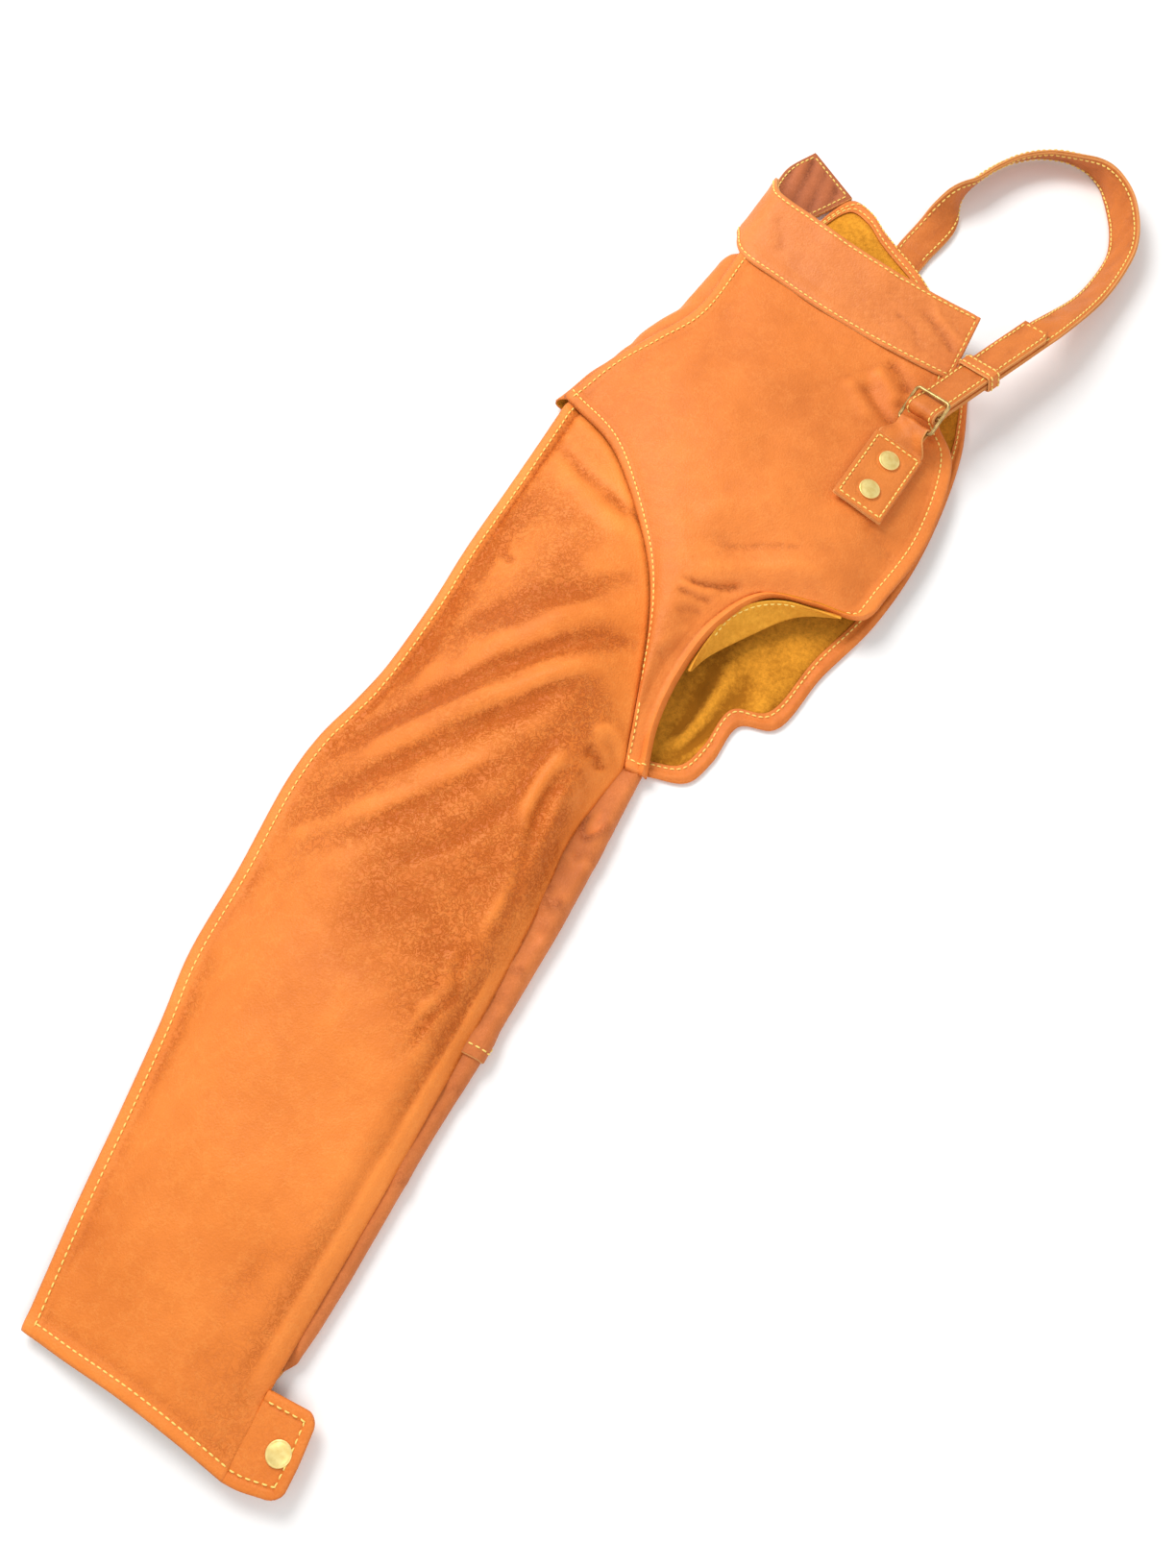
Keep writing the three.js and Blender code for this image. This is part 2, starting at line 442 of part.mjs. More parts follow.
const middleBar = lowerBar.clone().addScaledVector(slideWay, SLIDE_LENGTH / 2);
{
  const reach = STRAP_WIDTH / 2 + 1.5 + WIRE_DIAMETER / 2;
  const bend = 3;
  const loop = new THREE.CurvePath();
  const corner = (x, y) => middleBar.clone().addScaledVector(strapAcross, x * reach)
    .addScaledVector(slideWay, y * SLIDE_LENGTH / 2);
  const corners = [corner(-1, -1), corner(1, -1), corner(1, 1), corner(-1, 1)];
  const points = [];
  corners.forEach((point, i) => {
    const toward = (other) => point.clone().add(other.clone().sub(point).setLength(bend));
    const arc = new THREE.QuadraticBezierCurve3(toward(corners[(i + 3) % 4]), point, toward(corners[(i + 1) % 4]));
    points.push(...arc.getPoints(3));
  });
  const plane = strapAcross.clone().cross(slideWay);
  const ringSides = 8;
  const positions = [];
  points.forEach((point, i) => {
    const before = points[(i + points.length - 1) % points.length];
    const after = points[(i + 1) % points.length];
    const outward = after.clone().sub(before).cross(plane).normalize();
    for (let k = 0; k < ringSides; k++) {
      const angle = k * 2 * Math.PI / ringSides;
      positions.push(...point.clone().addScaledVector(outward, Math.cos(angle) * WIRE_DIAMETER / 2)
        .addScaledVector(plane, Math.sin(angle) * WIRE_DIAMETER / 2).toArray());
    }
  });
  const index = [];
  points.forEach((_, i) => {
    const next = (i + 1) % points.length;
    for (let k = 0; k < ringSides; k++) {
      const side = (k + 1) % ringSides;
      const [a, b] = [i * ringSides + k, i * ringSides + side];
      const [c, d] = [next * ringSides + side, next * ringSides + k];
      index.push(a, b, c, a, c, d);
    }
  });
  const frameGeometry = new THREE.BufferGeometry();
  frameGeometry.setAttribute('position', new THREE.Float32BufferAttribute(positions, 3));
  frameGeometry.setIndex(index);
  const bar = new THREE.CylinderGeometry(WIRE_DIAMETER / 2, WIRE_DIAMETER / 2, 2 * reach, 10);
  bar.rotateZ(Math.PI / 2).applyMatrix4(basisFrame(strapAcross, slideWay, plane, middleBar));
  let solid = toSolid(frameGeometry);
  if (solid.volume() < 0) {
    frameGeometry.setIndex(index.map((_, i) => index[i - (i % 3) + (2 - (i % 3))]));
    solid = toSolid(frameGeometry);
  }
  addMesh('wire_slide', fromSolid(solid.add(toSolid(bar))), finish.wire);
}

// Leather neck of the tab: from the patch round the slide's lower bar and back
{
  const foldRadius = WIRE_DIAMETER / 2 + BAR_CLEARANCE + HALF_LEATHER;
  const patchEdge = (z) => vec(0, TAB_LENGTH / 2 + SEAM_GAP, z).applyMatrix4(tabUnderside);
  const patchAcross = vec(1, 0, 0).transformDirection(tabUnderside);
  const stations = [];
  const run = (layer, sign) => spread(6, 0, 1).map((share) => {
    const start = patchEdge(HALF_LEATHER + layer * LAYER_PITCH);
    const end = lowerBar.clone().addScaledVector(strapNormal, sign * foldRadius);
    const turned = smooth(share, 0, 0.8);
    return { point: start.lerp(end, share),
      across: patchAcross.clone().lerp(strapAcross, turned).normalize(),
      halfWidth: lerp(TAB_WIDTH * 0.43, STRAP_WIDTH / 2, turned) };
  });
  const around = [30, 60, 90, 120, 150].map((angle) => {
    const turn = THREE.MathUtils.degToRad(angle);
    return { point: lowerBar.clone().addScaledVector(strapNormal, foldRadius * Math.cos(turn))
      .addScaledVector(strapWay, foldRadius * Math.sin(turn)), across: strapAcross, halfWidth: STRAP_WIDTH / 2 };
  });
  stations.push(...run(1, 1), ...around, ...run(0, -1).reverse());
  addMesh('tab_neck', ribbon(stations, TAB_WIDTH, 0), finish.panel);
}

// Strap: tail, fold round the middle bar, straight run, loop in the air, and down to the back neck
const TAIL_HEIGHT = STRAP_THICKNESS / 2 + LAYER_GAP;
const strapFold = WIRE_DIAMETER / 2 + BAR_CLEARANCE + STRAP_THICKNESS / 2;
const onStrap = (way, height) =>
  middleBar.clone().addScaledVector(strapWay, way).addScaledVector(strapNormal, height);
const rowOnStrap = (way, height) => ({ point: onStrap(way, height), across: strapAcross });
const SEWN_LENGTH = 40;
const hingeX = strapAnchor.x - STRAP_WIDTH / 2 - 3;
{
  const tail = [STRAP_TAIL, STRAP_TAIL * 0.66, STRAP_TAIL * 0.33, 16, 12].map((way) => rowOnStrap(way, TAIL_HEIGHT));
  const main = [...tail].reverse().map((_, i) => rowOnStrap([12, 16, STRAP_TAIL * 0.33, STRAP_TAIL * 0.66,
    STRAP_TAIL + 4][i], -TAIL_HEIGHT));
  const ease = [[8, 0.35], [4, 0.8]];
  const fold = spread(9, 0, 180).map((angle) => {
    const turn = THREE.MathUtils.degToRad(angle);
    return rowOnStrap(-strapFold * Math.sin(turn), strapFold * Math.cos(turn));
  });
  const easeOut = ease.map(([way, share]) => rowOnStrap(way, lerp(TAIL_HEIGHT, strapFold, share)));
  const easeIn = [...ease].reverse().map(([way, share]) => rowOnStrap(way, -lerp(TAIL_HEIGHT, strapFold, share)));
  const straightEnd = onStrap(STRAP_TAIL + 8, -TAIL_HEIGHT);
  // loop points: share of the body's width and depth, how far the outer edge is raised in degrees, lift
  const loopPoints = [[1.117, 1.2, 38, 6], [1.141, 1.283, 46, 1.5], [1.144, 1.335, 50, 0.6],
    [1.125, 1.385, 54, 0.6], [1.082, 1.44, 62, 0.6], [1.016, 1.484, 90, 0.6], [0.936, 1.499, 118, 0.6], [0.845, 1.488, 124, 0.6],
    [0.768, 1.45, 123, 0.6], [0.718, 1.4, 120, 0.6], [0.686, 1.345, 108, 0.6]];
  // the last points are in millimetres from the sewn end instead
  const endPoints = [[11.1, 46.4, 66, 0.6], [7.3, 26.4, 16, 0.5]];
  const standing = (point, raised, lift) => {
    const half = STRAP_WIDTH / 2 * Math.sin(THREE.MathUtils.degToRad(raised));
    const flat = STRAP_THICKNESS / 2 * Math.abs(Math.cos(THREE.MathUtils.degToRad(raised)));
    return point.setZ(half + flat + lift);
  };
  const places = [
    ...loopPoints.map(([x, y, raised, lift]) => standing(bodyAt(x, y, 0), raised, lift)),
    ...endPoints.map(([x, y, raised, lift]) => standing(strapAnchor.clone().add(vec(x, y, 0)), raised, lift)),
  ];
  const end = strapAnchor.clone().add(vec(0, SEAM_GAP, LAYER_GAP));
  const path = curveThrough([onStrap(STRAP_TAIL + 4, -TAIL_HEIGHT), straightEnd, ...places, end]);
  path.arcLengthDivisions = 600;
  const angles = [STRAP_TILT, STRAP_TILT, ...[...loopPoints, ...endPoints].map(([, , raised]) => raised), 0];
  const steps = 46;
  const loop = spread(steps, 0.002, 1).map((share) => {
    const t = path.getUtoTmapping(share);
    const raisedAt = t * (angles.length - 1);
    const low = Math.min(Math.floor(raisedAt), angles.length - 2);
    const raised = THREE.MathUtils.degToRad(lerp(angles[low], angles[low + 1], raisedAt - low));
    const way = path.getTangent(t);
    const level = way.clone().cross(vec(0, 0, 1)).normalize();
    const across = level.clone().multiplyScalar(Math.cos(raised))
      .addScaledVector(level.clone().cross(way), Math.sin(raised));
    return { point: path.getPoint(t), across };
  });
  const stations = [...tail, ...easeOut, ...fold, ...easeIn, ...main, ...loop.slice(1)];
  addMesh('strap_outer', ribbon(stations, STRAP_WIDTH, LAYER_PITCH / 2), finish.strap);
  addMesh('strap_lining', ribbon(stations, STRAP_WIDTH, -LAYER_PITCH / 2), finish.strap);
  const sewn = [-SEAM_GAP, -SEWN_LENGTH].map((way) => ({
    point: strapAnchor.clone().add(vec(way * 0.2, way, LAYER_GAP * 0.6)),
    across: vec(-1, 0.2, 0).normalize() }));
  addMesh('strap_sewn_end_outer', ribbon(sewn, STRAP_WIDTH, LAYER_PITCH / 2), finish.strap);
  addMesh('strap_sewn_end_lining', ribbon(sewn, STRAP_WIDTH, -LAYER_PITCH / 2), finish.strap);
}

// Keeper: a leather loop round both runs of the strap
const KEEPER_PLACE = 53;
{
  const halfX = STRAP_WIDTH / 2 + 0.7;
  const halfY = TAIL_HEIGHT + STRAP_THICKNESS / 2 + 0.5;
  const rectangle = (x, y, path) => {
    path.moveTo(-x, -y);
    path.lineTo(x, -y);
    path.lineTo(x, y);
    path.lineTo(-x, y);
    path.closePath();
    return path;
  };
  const shape = rectangle(halfX + LEATHER, halfY + LEATHER, new THREE.Shape());
  shape.holes.push(rectangle(halfX, halfY, new THREE.Path()));
  const tube = new THREE.ExtrudeGeometry(shape, { depth: KEEPER_LENGTH, bevelEnabled: false });
  tube.translate(0, 0, -KEEPER_LENGTH / 2);
  tube.applyMatrix4(basisFrame(strapAcross, strapNormal.clone().negate(), strapWay, onStrap(KEEPER_PLACE, 0)));
  addMesh('strap_keeper', tube, finish.panel);
}

// Cuff tab: two layers that stand out from the hem's inner end, and fold under to a stud below
const tabRootX = sleeveAt(0.425, 0, 0).x + SEAM_GAP;
const cuffTabMiddle = vec(tabRootX + CUFF_TAB_REACH / 2, cuffInner.y + CUFF_TAB_WIDTH / 2, 0);
const CUFF_CAP_FROM_ROOT = CUFF_TAB_REACH * 0.62;
const undersideZ = cuffInner.z - HALF_LEATHER - LAYER_PITCH;
// Half way between the open tab's underside and where that face lies when snapped below the sleeve
const cuffTabAxisZ = (undersideZ + CUFF_UNDER_RISE - SNAP_STANDOFF) / 2;
{
  const cuffCap = new THREE.Matrix4().makeTranslation(tabRootX + CUFF_CAP_FROM_ROOT, cuffTabMiddle.y, undersideZ);
  ['cuff_tab_lining', 'cuff_tab_outer'].forEach((name, layer) => {
    const plate = roundedPlate(CUFF_TAB_REACH, CUFF_TAB_WIDTH, 4, LEATHER);
    plate.translate(cuffTabMiddle.x, cuffTabMiddle.y, undersideZ + layer * LAYER_PITCH);
    punch(addMesh(name, plate, finish.sleeve), [cuffCap]);
  });
  addFemaleSnap('cuff_snap', cuffCap, PATCH_THICKNESS);
  const studFrame = basisFrame(vec(1, 0, 0), vec(0, -1, 0), vec(0, 0, -1),
    vec(tabRootX - CUFF_CAP_FROM_ROOT, cuffTabMiddle.y, CUFF_UNDER_RISE));
  addMaleSnap('cuff_snap', studFrame);
  punch(group.getObjectByName('under_sleeve_lower'), [studFrame]);
}

// The origin is the middle of the box, on the table
const box = new THREE.Box3().setFromObject(group);
const middle = box.getCenter(vec(0, 0, 0));
group.position.set(-middle.x, -middle.y, -box.min.z);

// Joint places and axes, in the part's own frame
const placed = (point) => point.clone().add(group.position).toArray();
group.userData.joints = {
  strap_lift: { at: placed(vec(hingeX, strapAnchor.y, STRAP_THICKNESS / 2)), axis: [0, -1, 0] },
  keeper_slide: { at: placed(onStrap(KEEPER_PLACE, 0)), axis: strapWay.toArray() },
  slide_swing: { at: placed(middleBar), axis: strapAcross.clone().negate().toArray() },
  tab_swing: { at: placed(lowerBar), axis: strapAcross.clone().negate().toArray() },
  cuff_tab_fold: { at: placed(vec(tabRootX, cuffTabMiddle.y, cuffTabAxisZ)), axis: [0, 1, 0] },
};

export default group;
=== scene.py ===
import json
import math
import bpy
import numpy as np
from mathutils import Matrix, Vector


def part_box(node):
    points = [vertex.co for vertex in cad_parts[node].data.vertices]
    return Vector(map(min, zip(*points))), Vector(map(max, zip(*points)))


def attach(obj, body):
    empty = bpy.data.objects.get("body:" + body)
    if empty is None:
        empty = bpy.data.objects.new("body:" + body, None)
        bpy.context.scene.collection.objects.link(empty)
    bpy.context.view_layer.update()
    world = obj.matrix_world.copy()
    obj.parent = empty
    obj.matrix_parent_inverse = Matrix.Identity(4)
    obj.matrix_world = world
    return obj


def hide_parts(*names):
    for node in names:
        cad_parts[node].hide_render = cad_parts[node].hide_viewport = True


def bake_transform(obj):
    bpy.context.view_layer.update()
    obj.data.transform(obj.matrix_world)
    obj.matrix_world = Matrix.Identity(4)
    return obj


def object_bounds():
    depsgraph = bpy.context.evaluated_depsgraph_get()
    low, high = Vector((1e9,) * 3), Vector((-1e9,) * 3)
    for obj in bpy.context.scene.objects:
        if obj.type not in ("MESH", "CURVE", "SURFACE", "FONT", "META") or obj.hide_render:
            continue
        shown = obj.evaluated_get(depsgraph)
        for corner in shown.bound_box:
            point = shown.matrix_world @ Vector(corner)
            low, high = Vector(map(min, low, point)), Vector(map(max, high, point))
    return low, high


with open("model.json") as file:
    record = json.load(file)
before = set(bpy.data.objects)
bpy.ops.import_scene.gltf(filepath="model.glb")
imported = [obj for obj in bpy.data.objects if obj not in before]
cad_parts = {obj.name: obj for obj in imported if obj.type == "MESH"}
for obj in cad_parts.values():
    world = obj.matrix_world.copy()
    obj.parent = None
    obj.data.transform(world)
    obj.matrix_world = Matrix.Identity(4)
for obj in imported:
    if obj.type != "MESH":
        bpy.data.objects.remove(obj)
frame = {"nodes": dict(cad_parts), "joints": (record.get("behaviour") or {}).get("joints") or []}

cad_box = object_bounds()
joints = {joint["name"]: joint for joint in frame["joints"]}


# The camera is high above the table, beside the lower sleeve. It looks down on the garment, turned
# so that the sleeve runs from the lower left to the upper right.
centre = (cad_box[0] + cad_box[1]) / 2
bpy.ops.object.camera_add(location=(centre.x + 0.1595, centre.y - 0.4115, 0.960))
camera = bpy.context.object
camera.name = "camera"
right = Vector((0.8981, 0.4397, 0.0))
lean = math.radians(21.0)
forward = Vector((-0.4397 * math.sin(lean), 0.8981 * math.sin(lean), -math.cos(lean)))
up = right.cross(forward)
turn = Matrix((right, up, -forward)).transposed()
camera.matrix_world = Matrix.Translation(camera.location) @ turn.to_4x4()
camera.data.lens = 36.09
bpy.context.scene.camera = camera
bpy.context.scene.view_settings.view_transform = "Standard"


# A pale seamless floor under soft studio light: a wide lamp over the sleeve's outer side, a
# weaker one over the garment's other side, and a bright even room.
bpy.ops.mesh.primitive_plane_add(size=14.0, location=(centre.x, centre.y, -0.0006))
floor = bpy.context.object
floor.name = "floor"
paper = bpy.data.materials.new("floor_paper")
paper.use_nodes = True
paper_shader = paper.node_tree.nodes["Principled BSDF"]
paper_shader.inputs["Base Color"].default_value = (0.93, 0.93, 0.925, 1.0)
paper_shader.inputs["Roughness"].default_value = 0.9
floor.data.materials.append(paper)
room = bpy.data.worlds.new("studio")
room.use_nodes = True
room.node_tree.nodes["Background"].inputs["Color"].default_value = (1.0, 0.99, 0.975, 1.0)
room.node_tree.nodes["Background"].inputs["Strength"].default_value = 0.60
bpy.context.scene.world = room
for name, place, size, power in [("key", (-1.0, 0.5, 1.4), 0.9, 25.0), ("fill", (0.9, -0.9, 1.4), 1.0, 9.0)]:
    bpy.ops.object.light_add(type="AREA", location=place)
    lamp = bpy.context.object
    lamp.name = name + "_light"
    lamp.data.size = size
    lamp.data.energy = power
    lamp.rotation_euler = (centre - lamp.location).to_track_quat("-Z", "Y").to_euler()


# The sleeve's upper leather: one panel from the cuff hem to the armhole seam. Its outer edge is
# turned and topstitched over the under sleeve, and its inner edge rolls over at the fold of the arm.
# Places on the garment and its overall sizes are in millimetres, thicknesses and hems in metres.
MM = 0.001
SLEEVE_WIDTH, SLEEVE_LENGTH = 176, 470
BODY_WIDTH, BODY_DEPTH, BODY_LEFT = 270, 400, -65.12
TAB_ROOT, TAB_MIDDLE = 75.4, 15.66
LEATHER = 0.0016
LAYER_PITCH = 0.0021
HALF = LEATHER / 2
HEM = 0.008
cuff_fold = Vector(joints["cuff_tab_fold"]["pos_m"])
garment_origin = cuff_fold - Vector((TAB_ROOT * MM, TAB_MIDDLE * MM, cuff_fold.z))


def at(x, y, z):
    """A place on the garment: millimetres from the middle of the cuff."""
    return np.array([x, y, z], float) * MM + np.array(garment_origin)


def sleeve_at(across, along, z):
    return at(across * SLEEVE_WIDTH, along * SLEEVE_LENGTH, z)


def body_at(across, along, z):
    return at(BODY_LEFT + across * BODY_WIDTH, SLEEVE_LENGTH + along * BODY_DEPTH, z)


def smooth(x, low, high):
    t = np.clip((x - low) / (high - low), 0, 1)
    return t * t * (3 - 2 * t)


def near_line(distance, place, width):
    """One at a distance from an edge, fading to nothing about width to either side of it."""
    return np.exp(-(((distance - place) / width) ** 2))


def unit(v):
    return v / np.maximum(np.linalg.norm(v, axis=-1, keepdims=True), 1e-12)


def curve(points, count=None):
    """A smooth line through points, evenly spaced along its length."""
    p = np.array(points, float)
    p = np.vstack([2 * p[0] - p[1], p, 2 * p[-1] - p[-2]])
    line = []
    for a, b, c, d in zip(p, p[1:], p[2:], p[3:]):
        k = [max(np.linalg.norm(y - x), 1e-6) ** 0.5 for x, y in ((a, b), (b, c), (c, d))]
        first = ((b - a) / k[0] - (c - a) / (k[0] + k[1]) + (c - b) / k[1]) * k[1]
        last = ((c - b) / k[1] - (d - b) / (k[1] + k[2]) + (d - c) / k[2]) * k[1]
        t = np.linspace(0, 1, 24, endpoint=False)[:, None]
        line.append((2 * t**3 - 3 * t**2 + 1) * b + (t**3 - 2 * t**2 + t) * first
                    + (3 * t**2 - 2 * t**3) * c + (t**3 - t**2) * last)
    line = np.vstack([*line, p[-2][None]])
    return resample(line, count) if count else line


def resample(line, count, first=0.0, last=1.0):
    """count points evenly along line, from the share first to the share last of its length."""
    reach = np.concatenate([[0], np.cumsum(np.linalg.norm(np.diff(line[:, :3], axis=0), axis=1))])
    places = np.linspace(first, last, count) * reach[-1]
    return np.stack([np.interp(places, reach, line[:, k]) for k in range(line.shape[1])], axis=1)


def between(near, far, start, end):
    """A patch of points between four edges: near and far run across, start and end run along."""
    u = np.linspace(0, 1, len(near))[None, :, None]
    v = np.linspace(0, 1, len(start))[:, None, None]
    ruled = (1 - v) * near[None] + v * far[None] + (1 - u) * start[:, None] + u * end[:, None]
    near_corners = (1 - u) * (1 - v) * near[0] + u * (1 - v) * near[-1]
    return ruled - (near_corners + (1 - u) * v * far[0] + u * v * far[-1])


def normals(grid):
    return unit(np.cross(np.gradient(grid, axis=1), np.gradient(grid, axis=0)))


def edge_distance(grid, edge):
    """How far each point of a patch is from one of its edges, measured over the leather."""
    axis = 1 if edge in ("start", "end") else 0
    flip = edge in ("end", "far")
    g = np.flip(grid, axis) if flip else grid
    step = np.linalg.norm(np.diff(g, axis=axis), axis=2)
    zero = np.zeros_like(np.take(step, [0], axis))
    reach = np.concatenate([zero, np.cumsum(step, axis)], axis)
    return np.flip(reach, axis) if flip else reach


def ripple(grid, length, seed):
    """Soft uneven waves about length long, between -1 and 1."""
    chance = np.random.default_rng(seed)
    total = np.zeros(grid.shape[:2])
    for _ in range(9):
        way = unit(chance.normal(size=3)) * 2 * math.pi / (length * chance.uniform(0.7, 1.5))
        total += np.sin(grid @ way + chance.uniform(0, 6.28))
    return total / 4.5


FOLD_FADE = 0.25


def fold(grid, points, height, left, right):
    """A ridge, or with a negative height a hollow, along a line seen from above. left and right are
    how wide its two flanks are, and it fades out over a share of its length at both ends."""
    line = curve([at(x, y, 0) for x, y in points])[:, :2]
    reach = np.concatenate([[0], np.cumsum(np.linalg.norm(np.diff(line, axis=0), axis=1))])
    flat = grid[..., :2].reshape(-1, 1, 2)
    a, b = line[:-1][None], line[1:][None]
    way = b - a
    t = np.clip(((flat - a) * way).sum(2) / np.maximum((way**2).sum(2), 1e-12), 0, 1)
    off = flat - (a + t[..., None] * way)
    gap = np.linalg.norm(off, axis=2)
    best = gap.argmin(1)
    rows = np.arange(len(best))
    side = way[0, best, 0] * off[rows, best, 1] - way[0, best, 1] * off[rows, best, 0]
    width = np.where(side > 0, left, right)
    share = (reach[best] + t[rows, best] * (reach[best + 1] - reach[best])) / reach[-1]
    fade = smooth(share, 0, FOLD_FADE) * smooth(1 - share, 0, FOLD_FADE)
    past = (share <= 0) | (share >= 1)
    lift = height * np.exp(-((gap[rows, best] / width) ** 2)) * np.where(past, 0, fade)
    return lift.reshape(grid.shape[:2])


def folds(grid, table):
    """All the folds of a table of lines, heights and flank widths, added up."""
    return sum(fold(grid, *row) for row in table)


def leather(name, bright, deep, grain=0.5, gloss=0.5, suede=False):
    """Dyed leather with random mottling, plus painted shade and highlight: hollows take the deep colour and
    crests the bright one by the mesh's painted shade and tone attribute.
    """
    material = bpy.data.materials.new(name)
    material.use_nodes = True
    nodes, links = material.node_tree.nodes, material.node_tree.links
    shader = nodes["Principled BSDF"]
    place = nodes.new("ShaderNodeTexCoord")

    def noise(scale, detail, rough=0.55, kind="ShaderNodeTexNoise"):
        node = nodes.new(kind)
        node.inputs["Scale"].default_value = scale
        links.new(place.outputs["Object"], node.inputs["Vector"])
        if kind == "ShaderNodeTexNoise":
            node.inputs["Detail"].default_value = detail
            node.inputs["Roughness"].default_value = rough
        return node

    def maths(kind, a, b):
        node = nodes.new("ShaderNodeMath")
        node.operation = kind
        for socket, value in zip(node.inputs, (a, b)):
            if isinstance(value, (int, float)):
                socket.default_value = value
            else:
                links.new(value, socket)
        return node.outputs[0]

    # The mesh's painted shade and highlight, added to random mottling, choose between the deep and bright
    # colours.
    shade_and_tone = nodes.new("ShaderNodeAttribute")
    shade_and_tone.attribute_name = "shade_and_tone"
    cloud = noise(9.0, 4.0).outputs["Fac"]
    mottle = noise(70.0, 5.0, 0.7).outputs["Fac"]
    mixed = maths("ADD", maths("MULTIPLY", cloud, 0.75), maths("MULTIPLY", mottle, 0.28))
    level = maths("ADD", maths("SUBTRACT", mixed, 0.46), shade_and_tone.outputs["Fac"])
    if suede:
        fibres = noise(300.0, 6.0, 0.75).outputs["Fac"]
        level = maths("ADD", level, maths("MULTIPLY", maths("SUBTRACT", fibres, 0.5), 1.5))
    else:
        # fine wrinkles: painted shade as dark lines that show most in the shaded hollows
        wrinkle = noise(230.0, 3.0, 0.6)
        wrinkle.inputs["Distortion"].default_value = 1.3
        line = maths("ABSOLUTE", maths("SUBTRACT", wrinkle.outputs["Fac"], 0.5), 0)
        line = maths("MAXIMUM", maths("SUBTRACT", 1.0, maths("MULTIPLY", line, 15.0)), 0.0)
        shaded = maths("MULTIPLY", maths("SUBTRACT", 0.50, shade_and_tone.outputs["Fac"]), 3.6)
        hollow_shade = maths("MAXIMUM", shaded, 0.10)
        wrinkle_depth_and_shade = maths("MULTIPLY", line, maths("MINIMUM", hollow_shade, 1.0))
        level = maths("SUBTRACT", level, maths("MULTIPLY", wrinkle_depth_and_shade, 0.30))
    ramp = nodes.new("ShaderNodeValToRGB")
    ramp.color_ramp.elements[0].position = 0.08
    ramp.color_ramp.elements[0].color = (*deep, 1)
    ramp.color_ramp.elements[1].position = 0.86
    ramp.color_ramp.elements[1].color = (*bright, 1)
    links.new(level, ramp.inputs["Fac"])
    # fine pale veins and rubbed marks
    vein = noise(26.0, 8.0, 0.75)
    line = maths("ABSOLUTE", maths("SUBTRACT", vein.outputs["Fac"], 0.5), 0)
    faint = maths("SUBTRACT", 1.0, maths("MULTIPLY", line, 60.0))
    faint = maths("MULTIPLY", maths("MAXIMUM", faint, 0.0), 0.0 if suede else 0.18)
    pale = nodes.new("ShaderNodeMix")
    pale.data_type = "RGBA"
    links.new(faint, pale.inputs["Factor"])
    links.new(ramp.outputs["Color"], pale.inputs["A"])
    pale.inputs["B"].default_value = (*[min(1.0, c * 1.35 + 0.03) for c in bright], 1)
    links.new(pale.outputs["Result"], shader.inputs["Base Color"])

    if suede:
        nap = noise(420.0, 6.0, 0.8).outputs["Fac"]
        cut = noise(1500.0, 2.0, 0.6).outputs["Fac"]
        height = maths("ADD", nap, maths("MULTIPLY", cut, 0.5))
        shader.inputs["Roughness"].default_value = 0.95
        shader.inputs["Specular IOR Level"].default_value = 0.05
        shader.inputs["Sheen Weight"].default_value = 0.10
        shader.inputs["Sheen Tint"].default_value = (0.95, 0.62, 0.20, 1)
        depth = 0.0007
    else:
        cells = noise(820.0, 0, kind="ShaderNodeTexVoronoi")
        cells.feature = "SMOOTH_F1"
        pores = noise(1500.0, 3.0, 0.6).outputs["Fac"]
        crackle = noise(240.0, 4.0, 0.6).outputs["Fac"]
        height = maths("MULTIPLY", cells.outputs["Distance"], -0.9)
        height = maths("ADD", height, maths("MULTIPLY", pores, 0.25))
        height = maths("ADD", height, maths("MULTIPLY", crackle, 0.9))
        height = maths("SUBTRACT", height, maths("MULTIPLY", wrinkle_depth_and_shade, 1.6))
        rough = maths("ADD", maths("MULTIPLY", mottle, 0.22), gloss - 0.1)
        links.new(rough, shader.inputs["Roughness"])
        shader.inputs["Specular IOR Level"].default_value = 0.22
        depth = 0.00060
    bump = nodes.new("ShaderNodeBump")
    bump.inputs["Strength"].default_value = grain
    bump.inputs["Distance"].default_value = depth
    links.new(height, bump.inputs["Height"])
    links.new(bump.outputs["Normal"], shader.inputs["Normal"])
    return material


sleeve_leather = leather("sleeve_leather", (0.93, 0.280, 0.048), (0.54, 0.116, 0.010))
suede = leather("suede_flesh_side", (0.78, 0.34, 0.030), (0.38, 0.140, 0.010), grain=0.9, suede=True)
cut_edge = leather("cut_edge", (0.74, 0.34, 0.11), (0.50, 0.20, 0.06), grain=0.7, gloss=0.75)


# Painted shading: fold heights become painted highlights and painted shade in the leather's colour.
SMOOTHING = 16
PAINTED_SHADING_GAIN = 210
DARKEST_PAINTED_SHADE, BRIGHTEST_PAINTED_HIGHLIGHT = -0.30, 0.24


def painted_fold_shading(lift):
    """Painted highlight on crests and painted shade in hollows, from how a patch's height stands out from its
    surroundings.
    """
    soft = lift.copy()
    for _ in range(SMOOTHING):
        soft[1:-1] = (soft[:-2] + soft[1:-1] * 2 + soft[2:]) / 4
        soft[:, 1:-1] = (soft[:, :-2] + soft[:, 1:-1] * 2 + soft[:, 2:]) / 4
    return np.clip((lift - soft) * PAINTED_SHADING_GAIN, DARKEST_PAINTED_SHADE, BRIGHTEST_PAINTED_HIGHLIGHT)


